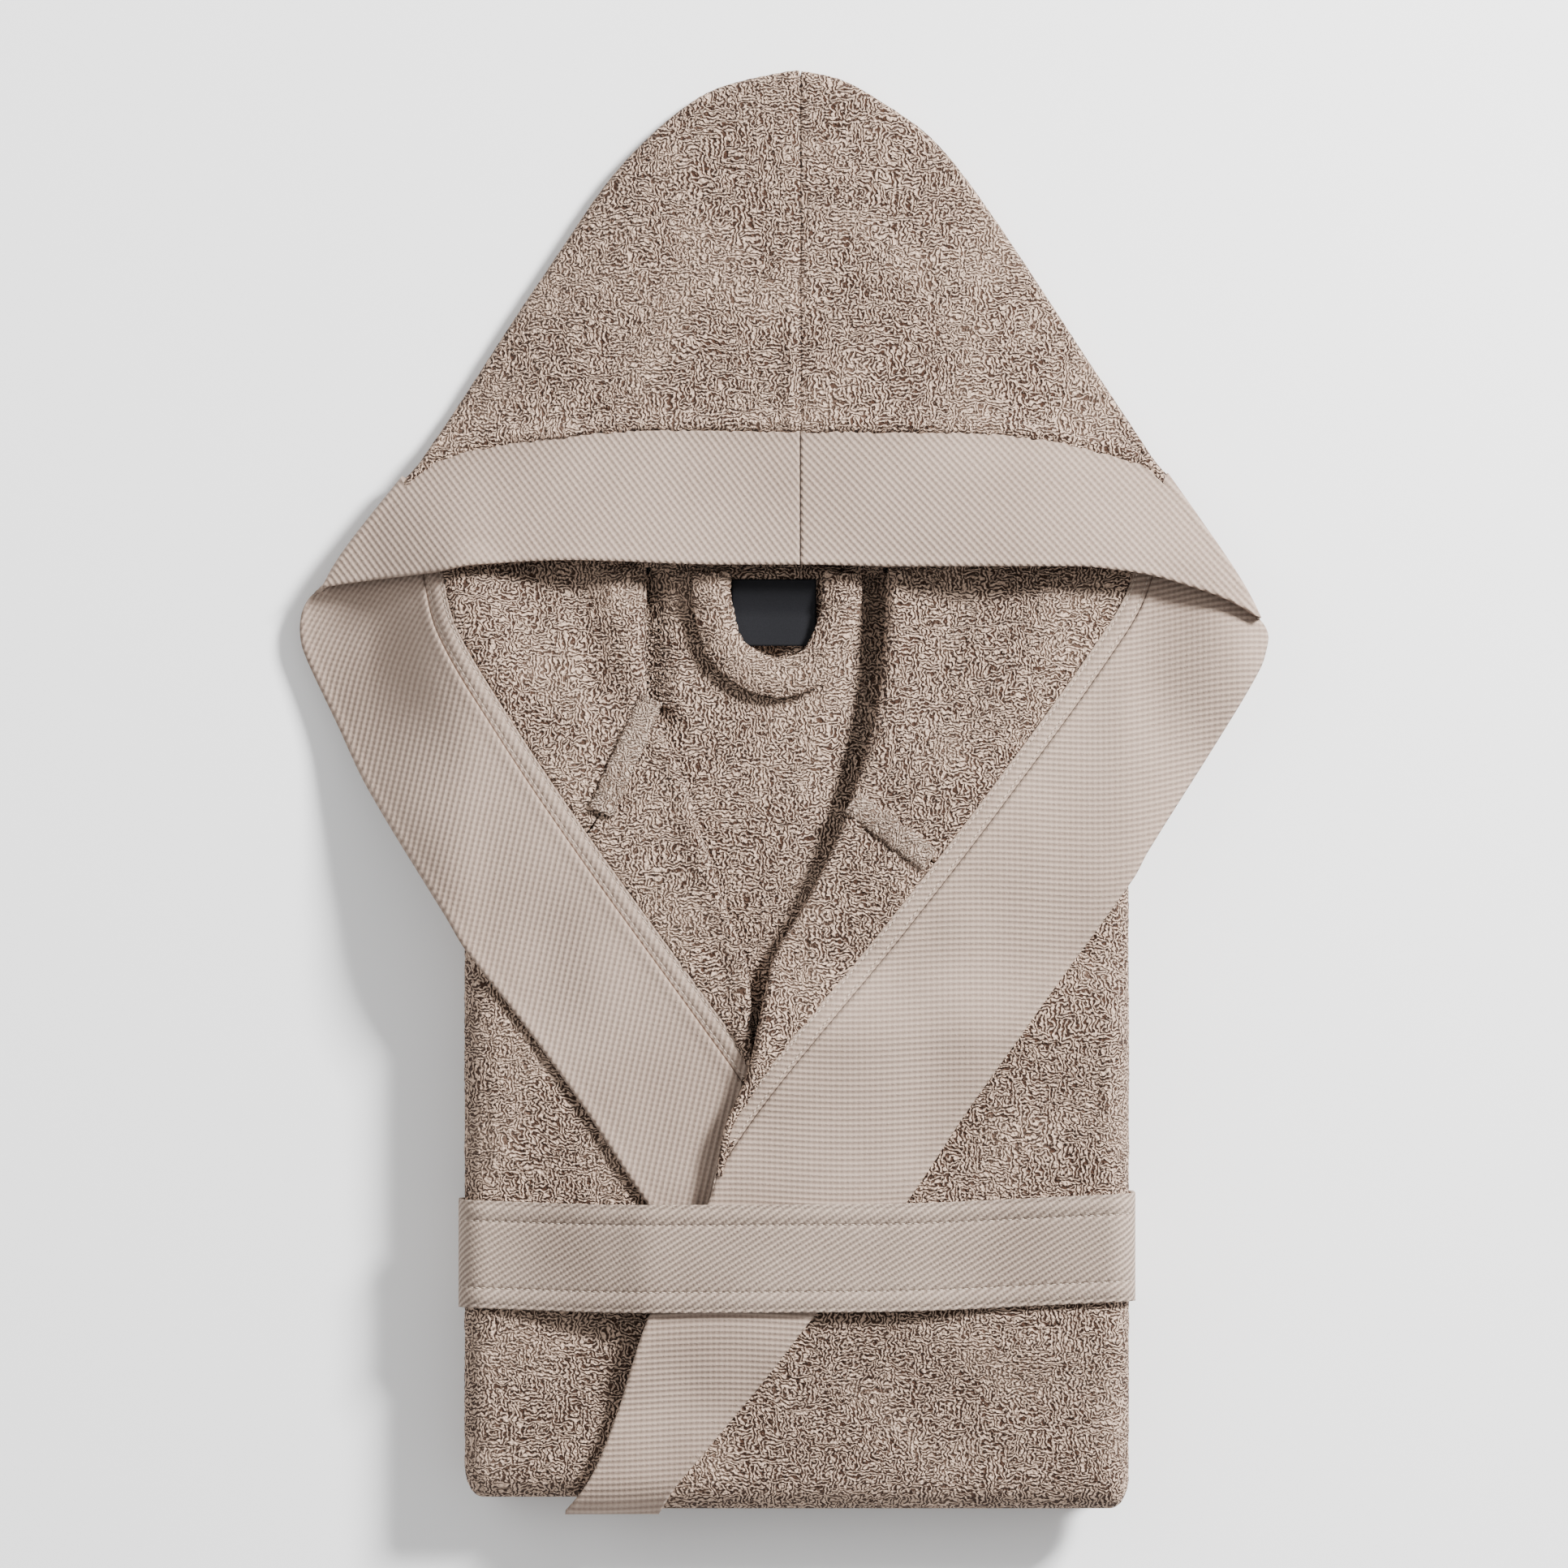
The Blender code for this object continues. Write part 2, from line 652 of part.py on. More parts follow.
def main():
    """Clear the scene and make the robe."""
    for stale in list(bpy.data.objects):
        bpy.data.objects.remove(stale, do_unlink=True)
    terry = material("terry", (0.38, 0.30, 0.25), 0.95)
    ribbed = material("ribbed_band", (0.50, 0.42, 0.37), 0.85)
    twill = material("belt_twill", (0.48, 0.41, 0.36), 0.8)
    black = material("label_black", (0.01, 0.01, 0.012), 0.6)
    make_block(terry)
    make_back(terry)
    make_front("front_left", False, terry)
    make_front("front_right", True, terry)
    make_hood("hood_left", False, terry)
    make_hood("hood_right", True, terry)
    make_band("band_left", False, ribbed)
    make_band("band_right", True, ribbed)
    make_neck_seam("neck_seam_left", False, terry)
    make_neck_seam("neck_seam_right", True, terry)
    make_loop(terry)
    make_label(black)
    make_belt(twill)
    centre_footprint()


main()
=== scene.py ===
"""Looks of the folded hooded bathrobe: terry fronts, back and hood, ribbed band, twill belt.

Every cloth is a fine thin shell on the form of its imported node. Lengths here are in
millimetres in the robe's own layout, and are turned into metres in the frame as a mesh is made.
"""
import logging
import math
from bisect import bisect_right
from collections.abc import Callable
from dataclasses import dataclass, field
from enum import Enum

import bmesh
import bpy
from mathutils import Matrix, Vector, noise

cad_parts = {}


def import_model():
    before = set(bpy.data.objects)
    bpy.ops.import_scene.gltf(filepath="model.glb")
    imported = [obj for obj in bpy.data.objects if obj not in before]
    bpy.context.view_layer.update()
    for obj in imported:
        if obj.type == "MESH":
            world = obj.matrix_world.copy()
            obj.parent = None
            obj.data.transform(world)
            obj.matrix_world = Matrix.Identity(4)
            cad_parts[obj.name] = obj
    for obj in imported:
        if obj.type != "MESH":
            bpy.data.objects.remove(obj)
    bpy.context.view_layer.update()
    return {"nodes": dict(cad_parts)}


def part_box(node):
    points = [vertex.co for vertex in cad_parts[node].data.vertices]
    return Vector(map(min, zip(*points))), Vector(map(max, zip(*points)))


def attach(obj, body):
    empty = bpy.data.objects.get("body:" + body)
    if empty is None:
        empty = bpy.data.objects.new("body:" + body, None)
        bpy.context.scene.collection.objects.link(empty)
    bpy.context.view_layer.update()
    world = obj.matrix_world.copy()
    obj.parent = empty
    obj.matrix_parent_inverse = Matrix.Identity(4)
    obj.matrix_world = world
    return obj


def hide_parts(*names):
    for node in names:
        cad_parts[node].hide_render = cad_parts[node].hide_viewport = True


LOG = logging.getLogger("bathrobe")
MM = 0.001
Point = tuple[float, float]
Spot = tuple[float, float, float]


class Side(Enum):
    """The wearer-neutral side of a piece, as seen from above."""

    LEFT = -1
    RIGHT = 1

    @property
    def word(self) -> str:
        """Return the side's word in the name of a piece."""
        return self.name.lower()

    def pick(self, left: object, right: object) -> object:
        """Return the one of two values that is for this side."""
        return right if self is Side.RIGHT else left


class Weave(Enum):
    """The cloths that the robe is made of."""

    TERRY = "terry"
    RIBBED = "ribbed_band"
    TWILL = "belt_twill"
    SATIN = "label_black"


def smooth(value: float) -> float:
    """Return the smooth step of a value held between 0 and 1."""
    held = min(max(value, 0.0), 1.0)
    return held * held * (3.0 - 2.0 * held)


def mix(first: float, second: float, share: float) -> float:
    """Return the value at a share of the way between two."""
    return first + (second - first) * share


def spread(start: float, end: float, count: int) -> list[float]:
    """Return evenly spaced values from start to end, both included."""
    return [mix(start, end, i / (count - 1)) for i in range(count)]


def bell(distance: float, reach: float) -> float:
    """Return 1 at no distance, falling smoothly to 0 at the reach."""
    return smooth(1.0 - abs(distance) / reach)


def ripple(x: float, y: float, z: float) -> float:
    """Return the smooth noise at a place, about -1 to 1."""
    return noise.noise(Vector((x, y, z)))


def both(make: Callable, left: object, right: object, *rest: object) -> dict[Side, object]:
    """Return what a maker gives for the left and for the right, by side."""
    return {Side.LEFT: make(left, *rest), Side.RIGHT: make(right, *rest)}


def mesh_from(name: str, bm: bmesh.types.BMesh, finish: bpy.types.Material) -> bpy.types.Mesh:
    """Return a mesh with one material, made from a bmesh that is freed."""
    mesh = bpy.data.meshes.new(name)
    bm.to_mesh(mesh)
    bm.free()
    mesh.materials.append(finish)
    return mesh


def link_object(name: str, data: bpy.types.ID) -> bpy.types.Object:
    """Return a new object on its data, linked to the scene."""
    made = bpy.data.objects.new(name, data)
    bpy.context.scene.collection.objects.link(made)
    return made


class Curve:
    """A smooth single-valued curve through a few named points."""

    def __init__(self, points: list[Point], by: int = 0) -> None:
        """Sort the points and work out the tangents.

        Args:
            points: x, y pairs in millimetres.
            by: 0 to read y at an x, 1 to read x at a y.
        """
        pairs = sorted((p[by], p[1 - by]) for p in points)
        self.keys = [p[0] for p in pairs]
        self.values = [p[1] for p in pairs]
        steps = [(b[1] - a[1]) / max(b[0] - a[0], 1e-6) for a, b in zip(pairs, pairs[1:])]
        middle = [2 * a * b / (a + b) if a * b > 0 else 0.0 for a, b in zip(steps, steps[1:])]
        self.slopes = [steps[0], *middle, steps[-1]]

    def at(self, key: float) -> float:
        """Read the curve.

        Args:
            key: the place along the chosen axis.

        Returns:
            The value there, held at the curve's ends.
        """
        if key <= self.keys[0]:
            return self.values[0]
        if key >= self.keys[-1]:
            return self.values[-1]
        i = bisect_right(self.keys, key) - 1
        span = self.keys[i + 1] - self.keys[i]
        t = (key - self.keys[i]) / span
        low, high = self.values[i], self.values[i + 1]
        rise = smooth(t)
        first = self.slopes[i] * span * t * (1 - t) ** 2
        second = self.slopes[i + 1] * span * t * t * (1 - t)
        return low * (1 - rise) + high * rise + first - second


class Path:
    """A route through a few points, read by its share of the length."""

    def __init__(self, points: list[Point], rounded: bool = True) -> None:
        """Keep the points and their distances.

        Args:
            points: x, y pairs in millimetres.
            rounded: whether the corners are rounded.
        """
        self.points = points
        self.rounded = rounded
        self.lengths = [math.dist(a, b) for a, b in zip(points, points[1:])]

    def at(self, share: float) -> Point:
        """Read the route.

        Args:
            share: the share of the whole length, from 0 to 1.

        Returns:
            The x, y place there.
        """
        left = share * sum(self.lengths)
        last = len(self.lengths) - 1
        i = 0
        while i < last and left > self.lengths[i]:
            left -= self.lengths[i]
            i += 1
        span = self.lengths[i]
        t = min(left / span, 1.0)
        p1, p2 = self.points[i], self.points[i + 1]
        if not self.rounded:
            return mix(p1[0], p2[0], t), mix(p1[1], p2[1], t)
        p0 = self.points[max(i - 1, 0)]
        p3 = self.points[min(i + 2, last + 1)]
        before = math.dist(p0, p1) or span
        after = math.dist(p2, p3) or span
        rise = smooth(t)
        found = []
        for a, b, c, d in zip(p0, p1, p2, p3):
            leave = (c - a) / (before + span) * span * t * (1 - t) ** 2
            reach = (d - b) / (span + after) * span * t * t * (1 - t)
            found.append(b * (1 - rise) + c * rise + leave - reach)
        return found[0], found[1]

    def side(self, share: float) -> Point:
        """Return the unit vector to the right of the route at a share of it."""
        x1, y1 = self.at(max(share - 0.01, 0.0))
        x2, y2 = self.at(min(share + 0.01, 1.0))
        length = math.dist((x1, y1), (x2, y2))
        return (y2 - y1) / length, -(x2 - x1) / length

    def beside(self, share: float, off: float) -> Point:
        """Return the place at a distance to the right of the route."""
        x, y = self.at(share)
        right_x, right_y = self.side(share)
        return x + right_x * off, y + right_y * off


@dataclass(frozen=True)
class Crease:
    """One soft fold: a ridge, or a trough where its height is below 0."""

    start: Point
    end: Point
    width: float
    height: float

    def lift(self, x: float, y: float) -> float:
        """Return the fold's height at a place."""
        dx, dy = self.end[0] - self.start[0], self.end[1] - self.start[1]
        span = dx * dx + dy * dy
        along = ((x - self.start[0]) * dx + (y - self.start[1]) * dy) / span
        held = min(max(along, 0.0), 1.0)
        away = math.dist((x, y), (self.start[0] + held * dx, self.start[1] + held * dy))
        if away > self.width:
            return 0.0
        fade = smooth(4 * held * (1 - held) + 0.15)
        return self.height * bell(away, self.width) * fade


def lifted(creases: list[Crease], x: float, y: float) -> float:
    """Return the height of all the creases together at a place."""
    return sum(crease.lift(x, y) for crease in creases)


FRONT_CREASES = {
    Side.LEFT: [Crease((-150, -90), (-95, -190), 14, 0.8),
                Crease((-150, -300), (-70, -275), 12, -0.6)],
    Side.RIGHT: [Crease((150, -60), (80, -185), 16, 0.9),
                 Crease((150, -330), (20, -290), 16, 0.8),
                 Crease((120, -275), (40, -335), 12, -0.7)],
}
HOOD_CREASES = {
    Side.LEFT: [Crease((-150, 180), (-95, 174), 6, 1.2),
                Crease((-60, 300), (-110, 200), 16, 0.9)],
    Side.RIGHT: [Crease((60, 300), (120, 205), 18, 0.9),
                 Crease((140, 190), (175, 165), 8, 1.0)],
}
CHEEK_CREASES = {
    Side.LEFT: [Crease((-106, 114), (-93, 40), 14, -3.0),
                Crease((-84, 114), (-77, 46), 11, 3.2),
                Crease((-150, 96), (-118, 30), 16, 1.2)],
    Side.RIGHT: [Crease((92, 114), (66, 22), 16, -2.2),
                 Crease((140, 104), (96, 20), 20, 2.2)],
}


@dataclass(frozen=True)
class Ridge:
    """One broad raised place: its middle, its reach along x and y, and its height."""

    x: float
    y: float
    reach_x: float
    reach_y: float
    height: float

    def lift(self, x: float, y: float) -> float:
        """Return the ridge's height at a place."""
        return self.height * bell(x - self.x, self.reach_x) * bell(y - self.y, self.reach_y)


@dataclass
class Layout:
    """The robe's sizes and outlines in millimetres, as in the part's solids or close to them."""

    terry: float = 3.0
    pile_wall: float = 2.7
    band: float = 2.0
    belt: float = 2.4
    trim: float = 1.4
    label: float = 0.8
    top_at_belt: float = 44.0
    top_at_nape: float = 22.0
    fall_from: float = -50.0
    nape_x: float = -8.0
    nape_y: float = 111.0
    nape_half: float = 59.0
    cheek_out: float = 176.5
    neck_y_left: float = 42.0
    crown_y: float = 358.0
    gap: float = 0.6
    step: float = 3.9
    back_drop: float = 4.2
    back_sink: float = 2.6
    back_low: float = -124.0
    label_left: float = -26.0
    cross_rise: float = 10.2
    cross_from: float = -78.0
    cross_over: float = 46.0
    under_rise: float = 4.2
    under_from: float = -264.0
    under_over: float = 44.0
    left: float = -158.0
    right: float = 170.5
    end_left: float = -349.0
    end_right: float = -354.5
    end_radius: float = 14.0
    plan_corner: float = 8.0
    lower_top: float = 18.0
    fold_open: float = 3.6
    seam_x: float = 8.0
    brim_height: float = 40.0
    crown_height: float = 11.0
    edge_open: float = 8.0
    floor_mid: float = 1.9
    floor_from: float = 192.0
    floor_over: float = 100.0
    overhang_z: float = 8.0
    overhang_over: float = 92.0
    belt_top_y: float = -202.5
    belt_y: float = -229.0
    belt_width: float = 53.0
    strip_to: float = 9.8
    strip_press: float = 1.9
    swell_height: float = 2.6
    dip_left: float = 7.5
    dip_right: float = 10.0
    loop_hollow: float = 7.0
    loop_reach: float = 15.0
    loop_middle: Point = (-5.0, 67.0)
    dip_x: float = -7.0
    dip_y: float = 134.0
    dip_half: float = 60.0
    shift: Vector = field(default_factory=Vector)

    def __post_init__(self) -> None:
        """Set out the outlines as curves and routes."""
        hood_left = [(5, 358), (-33, 349), (-51, 338), (-71, 320), (-88, 301), (-102, 280),
                     (-131, 237), (-164, 186), (-188, 150.5)]
        hood_right = [(5, 358), (26, 354), (51, 340), (73, 324), (93, 299), (109, 276),
                      (151, 212), (180, 168), (189, 152.5)]
        seam = [(-189, 151), (-172, 164), (-144, 172), (-106, 177), (-64, 180), (12, 179),
                (60, 179), (101, 178), (134, 174), (159, 168), (180, 161), (189, 153)]
        brim = [(-236, 98), (-230, 100.5), (-207, 104), (-173, 108), (-154, 111.5), (-106, 114),
                (-31, 112), (8, 112), (60, 111), (145, 111), (168, 108.8), (182, 106.5),
                (200, 101.4), (218, 95), (231, 88), (237, 84)]
        free_left = [(-228, 100), (-234.5, 96), (-238.6, 89.5), (-240, 80), (-238, 69),
                     (-221, 33), (-206, 2), (-167, -61), (-157, -78), (-129, -114),
                     (-100, -154), (-69, -201), (-45, -234)]
        groove_left = [(-181, 152), (-180, 130), (-178, 106), (-171, 78), (-147, 36),
                       (-107, -24), (-42, -114), (-26, -136), (-5, -166)]
        roll_left = [(-67, 42), (-58, 24), (-51, 10), (-41, -20), (-27, -62), (-17, -90),
                     (-15, -126), (-8, -180), (0, -360)]
        free_right = [(235, 84), (238, 80), (239, 76), (238, 70), (235, 61), (217, 30),
                      (179, -30), (172, -43), (136, -93), (91, -156), (61, -201),
                      (14, -259), (-10, -290), (-38, -324), (-54, -343), (-62, -356)]
        groove_right = [(183, 157), (184, 130), (182.5, 106), (170, 79), (109, -6),
                        (53, -78), (-4, -147), (-31, -186), (-37, -202), (-67, -260),
                        (-82, -306), (-94, -336), (-108, -356)]
        roll_right = [(52, 110), (50, 72), (46, 41), (34, -2), (23, -30), (8, -59),
                      (-7, -86), (-11, -106), (-19, -141), (-30, -167), (-37, -202),
                      (-67, -260), (-82, -306), (-98, -344), (-104, -360)]
        neck_left = [(-67, 42), (-91, -12), (-104, -30)]
        neck_right = [(36, -7), (73, -35), (82, -42)]
        self.crown = both(Curve, hood_left, hood_right)
        self.reach = both(Curve, [*hood_left, (-239, 90)], [*hood_right, (238, 84)], 1)
        self.brim_seam = Curve(seam)
        self.brim_edge = Curve(brim)
        self.groove_y = both(Curve, groove_left, groove_right, 1)
        self.groove_x = both(Curve, groove_left, groove_right)
        self.groove = both(Path, groove_left, groove_right)
        self.free = both(Path, free_left, free_right)
        self.roll = both(Curve, roll_left, roll_right, 1)
        self.neck_x = both(Curve, neck_left, neck_right)
        self.neck_y = both(Curve, neck_left, neck_right, 1)
        self.neck = both(Path, neck_left[:2], neck_right[:2], False)
        self.neck_last = {Side.LEFT: neck_left[-1][0], Side.RIGHT: neck_right[-1][0]}
        self.cheek_from = {Side.LEFT: -69.0, Side.RIGHT: 52.0}
        # the upper lapels stand up towards the light
        self.ridge = {Side.LEFT: Ridge(-160, 82, 46, 84, 18.0),
                      Side.RIGHT: Ridge(228, 64, 54, 76, 23.4)}
        # the open brim lifts most towards its two outer corners
        self.corner = Ridge(120, 104, 105, 90, 9.5)

    def crown_at(self, x: float, side: Side) -> float:
        """Return the hood's outline at a place, evened so that no corner shows."""
        near = [self.crown[side].at(x + step) for step in (-9, -6, -3, 0, 3, 6, 9)]
        return sum(near) / len(near) + 0.4

    def groove_gap(self, x: float, y: float, side: Side) -> float:
        """Return how far a place is from the band's groove."""
        least = 1e9
        points = self.groove[side].points
        for a, b in zip(points, points[1:]):
            dx, dy = b[0] - a[0], b[1] - a[1]
            share = ((x - a[0]) * dx + (y - a[1]) * dy) / (dx * dx + dy * dy)
            held = min(max(share, 0.0), 1.0)
            least = min(least, math.hypot(x - a[0] - held * dx, y - a[1] - held * dy))
        return least

    def recess(self, x: float, y: float, side: Side) -> float:
        """Return how far the pile is pressed down under the topstitched strip."""
        ragged = 1.1 * ripple(x * 0.45, y * 0.45, 6.6)
        press = smooth((self.strip_to + 0.9 + ragged - self.groove_gap(x, y, side)) / 1.5)
        return self.strip_press * press * smooth((112 - y) / 8)

    def top(self, y: float) -> float:
        """Return the height of the bundle's upper face."""
        share = smooth((self.fall_from - y) / (self.fall_from - self.nape_y))
        return mix(self.top_at_belt, self.top_at_nape, share)

    def rise(self, y: float) -> float:
        """Return how far the right front lies above the bundle, over the left one."""
        above = self.cross_rise * smooth((self.cross_from - y) / self.cross_over)
        under = smooth((self.under_from - y) / self.under_over)
        return above - (self.cross_rise - self.under_rise) * under

    def lobe(self, y: float) -> float:
        """Return the radius of the upper fold along each side."""
        return max((self.top(y) - self.lower_top - self.fold_open) / 2, 3.0)

    def overhang(self, x: float, z: float) -> float:
        """Return how far a lapel sinks past the bundle's side."""
        past = max(self.left + 6 - x, x - self.right + 6, 0.0)
        return max(z - self.overhang_z, 0.0) * smooth(past / self.overhang_over)

    def swell(self, x: float, y: float) -> float:
        """Return the cloth's broad soft unevenness, which dies out under the belt."""
        away = smooth((abs(y - self.belt_y) - 32) / 18)
        broad = ripple(x * 0.017 + 4.0, y * 0.014, 0.5)
        near = ripple(x * 0.042, y * 0.031, 7.5)
        return self.swell_height * away * (broad + 0.4 * near)

    def lapel(self, x: float, y: float, side: Side) -> float:
        """Return the middle height of a lapel, a band or the hood's lower layer."""
        z = self.top(y) + self.gap + self.terry / 2 + self.step
        z += side.pick(0.0, self.rise(y))
        z += self.swell(x, y) - self.overhang(x, z)
        z = mix(self.floor_mid, z, smooth((self.floor_from - y) / self.floor_over))
        return z + self.ridge[side].lift(x, y)

    def side_of(self, x: float) -> Side:
        """Return the half of the hood that a place is on."""
        return Side.RIGHT if x > self.seam_x else Side.LEFT

    def hood_under(self, x: float, y: float) -> float:
        """Return the height of the hood's lower layer, which dips to the nape."""
        nape = smooth((self.dip_half - abs(x - self.dip_x)) / 10)
        nape *= smooth((self.dip_y - y) / 24)
        return self.lapel(x, y, self.side_of(x)) - (self.step + self.back_drop) * nape

    def hood_over(self, x: float, y: float) -> float:
        """Return the height of the hood's upper layer, open at the brim."""
        side = self.side_of(x)
        reach = self.reach[side].at(y) - self.seam_x
        share = min(abs((x - self.seam_x) / reach), 1.0) if abs(reach) > 1 else 1.0
        up = (y - self.nape_y) / (self.crown_y - self.nape_y)
        middle = mix(self.brim_height, self.crown_height, up)
        low = self.lapel(x, y, side)
        open_by = self.edge_open + self.corner.lift(abs(x - self.seam_x), y)
        return low + open_by + max(middle - low - self.edge_open, 0.0) * (1 - share ** 2.5)

    def left_edge(self, y: float) -> float:
        """Return the left edge of the V: the left roll, and the cheek's edge above it."""
        if y < self.neck_y_left:
            return self.roll[Side.LEFT].at(y)
        return self.cheek_from[Side.LEFT]

    def back_dip(self, x: float, y: float) -> float:
        """Return how far the back sinks beside the two rolls, and inside the loop."""
        left = self.left_edge(y)
        right = self.roll[Side.RIGHT].at(y)
        dip = self.dip_left * smooth(1 - (x - left) / 17) * smooth((y - 18) / 20)
        dip += self.dip_right * smooth(1.1 - (right - x) / 25) * smooth((y + 75) / 90)
        hollow = self.loop_hollow * bell(math.dist((x, y), self.loop_middle), self.loop_reach)
        return dip * smooth((112 - y) / 6) + hollow + 1.7 * smooth((y - 108) / 3)

    def back_height(self, y: float) -> float:
        """Return the middle height of the back in the V, sunk a little more than packed."""
        sunk = self.back_sink * smooth((100 - y) / 14) * smooth((y + 124) / 60)
        return self.top(y) - self.back_drop + self.gap + self.terry / 2 - sunk

    def cheek_slide(self, x: float, y: float, side: Side) -> float:
        """Return how far a cheek's inner columns follow the right roll line."""
        if side is Side.LEFT:
            return 0.0
        return (self.roll[side].at(y) - self.cheek_from[side]) * smooth((112 - x) / 60)

    def cheek_end(self, x: float, side: Side) -> float:
        """Return the y where a cheek ends, on the band's groove or the neck seam."""
        end = self.groove_x[side].at(x)
        if abs(x) < abs(self.neck_last[side]):
            end = max(end, self.neck_x[side].at(x))
        return end + 1.0


@dataclass(frozen=True)
class Finish:
    """A cloth's colours and surface."""

    weave: Weave
    light: Spot
    dark: Spot
    rough: float
    sheen: float

    def shader(self, name: str) -> tuple[bpy.types.Material, "Wiring"]:
        """Start a material with this cloth's plain surface.

        Args:
            name: the material's name.

        Returns:
            The material and the wiring of its node tree.
        """
        made = bpy.data.materials.new(name)
        made.use_nodes = True
        wiring = Wiring(made.node_tree)
        surface = wiring.surface
        surface.inputs["Roughness"].default_value = self.rough
        surface.inputs["Sheen Weight"].default_value = self.sheen
        surface.inputs["Sheen Roughness"].default_value = 0.6
        surface.inputs["Specular IOR Level"].default_value = 0.12
        return made, wiring


class Wiring:
    """Short calls for adding and linking shader nodes."""

    def __init__(self, tree: bpy.types.NodeTree) -> None:
        """Keep the tree and its Principled node, and read the object's own coordinates."""
        self.tree = tree
        self.surface = tree.nodes["Principled BSDF"]
        self.place = self.add("ShaderNodeTexCoord", {}).outputs["Object"]

    def add(self, kind: str, links: dict, **settings: object) -> bpy.types.Node:
        """Add one node.

        Args:
            kind: the node's type name.
            links: input name or index, to a socket or a value.
            settings: attributes of the node.

        Returns:
            The new node.
        """
        node = self.tree.nodes.new(kind)
        for key, value in settings.items():
            setattr(node, key, value)
        for key, value in links.items():
            if isinstance(value, bpy.types.NodeSocket):
                self.tree.links.new(value, node.inputs[key])
            else:
                node.inputs[key].default_value = value
        return node

    def maths(self, operation: str, *values: object) -> bpy.types.NodeSocket:
        """Return the result of a Math node on sockets or numbers."""
        node = self.add("ShaderNodeMath", dict(enumerate(values)), operation=operation)
        return node.outputs[0]

    def fit(self, value: object, low: float, high: float, to_low: float = 0.0,
            to_high: float = 1.0) -> bpy.types.NodeSocket:
        """Return a value mapped from one range to another, held inside it."""
        node = self.add("ShaderNodeMapRange", {0: value, 1: low, 2: high, 3: to_low,
                                               4: to_high})
        return node.outputs[0]

    def weigh(self, first: object, second: object, share: object) -> bpy.types.NodeSocket:
        """Return the first value moved towards the second by a share."""
        rest = self.maths("SUBTRACT", 1.0, share)
        return self.maths("ADD", self.maths("MULTIPLY", first, rest),
                          self.maths("MULTIPLY", second, share))

    def noise(self, place: object, scale: float, detail: float) -> object:
        """Return the outputs of a Noise texture: its value, then its colour."""
        links = {"Vector": place, "Scale": scale, "Detail": detail}
        return self.add("ShaderNodeTexNoise", links).outputs

    def blend(self, share: object, first: Spot, second: Spot) -> bpy.types.NodeSocket:
        """Return two colours mixed by a share."""
        links = {0: share, 6: (*first, 1.0), 7: (*second, 1.0)}
        return self.add("ShaderNodeMix", links, data_type="RGBA").outputs[2]

    def bump(self, height: object, depth: float, strength: float,
             under: object = None) -> bpy.types.NodeSocket:
        """Return a bumped normal, on top of another one if it is given."""
        links = {"Height": height, "Distance": depth, "Strength": strength}
        if under is not None:
            links["Normal"] = under
        return self.add("ShaderNodeBump", links).outputs[0]

    def dress(self, colour: object, normal: object) -> None:
        """Link the colour and the normal to the surface."""
        self.tree.links.new(colour, self.surface.inputs["Base Color"])
        self.tree.links.new(normal, self.surface.inputs["Normal"])


@dataclass(frozen=True)
class TerryFinish(Finish):
    """Looped pile: short worm-like loops over dark gaps, with a swirling nap."""

    loop_scale: float = 150.0
    gap: float = 0.25
    crest: float = 0.82
    nap_scale: float = 26.0
    swirl: float = 0.011
    patch_scale: float = 135.0
    bead_scale: float = 4.2
    bead_share: float = 0.36
    drift: float = 0.13
    depth: float = 0.0028
    nap_range: Point = (0.32, 0.68)
    patch_range: Point = (0.44, 0.56)
    loop_range: Point = (0.12, 0.72)
    bead_range: Point = (0.15, 0.8)

    def material(self, name: str) -> bpy.types.Material:
        """Return the terry material."""
        made, wiring = self.shader(name)
        nap = wiring.noise(wiring.place, self.nap_scale, 3.0)
        swirl = wiring.add("ShaderNodeVectorMath", {0: nap[1], 1: (self.swirl,) * 3},
                           operation="MULTIPLY").outputs[0]
        moved = wiring.add("ShaderNodeVectorMath", {0: wiring.place, 1: swirl},
                           operation="ADD").outputs[0]
        pressed = wiring.add("ShaderNodeMapping", {"Vector": moved,
                                                   "Scale": (1.0, 1.1, 1.0)}).outputs[0]
        along, across = (wiring.add("ShaderNodeTexWave", {
            "Vector": pressed, "Scale": self.loop_scale, "Distortion": 9.0, "Detail": 1.5,
            "Detail Scale": 2.1, "Detail Roughness": 0.5}, bands_direction=axis).outputs[1]
            for axis in "XY")
        patch = wiring.noise(moved, self.patch_scale, 1.0)[0]
        loops = wiring.weigh(across, along, wiring.fit(patch, *self.patch_range))
        worm = wiring.fit(loops, *self.loop_range)
        cells = wiring.add("ShaderNodeTexVoronoi", {
            "Vector": pressed, "Scale": self.loop_scale * self.bead_scale}).outputs[0]
        bead = wiring.fit(cells, *self.bead_range, 1.0, 0.0)
        pile = wiring.weigh(worm, bead, self.bead_share)
        tone = wiring.fit(pile, self.gap, self.crest)
        drift = wiring.fit(nap[0], *self.nap_range, -self.drift, self.drift)
        colour = wiring.blend(wiring.maths("ADD", tone, drift), self.dark, self.light)
        soft = wiring.bump(nap[0], 0.004, 0.25)
        wiring.dress(colour, wiring.bump(pile, self.depth, 1.0, soft))
        return made


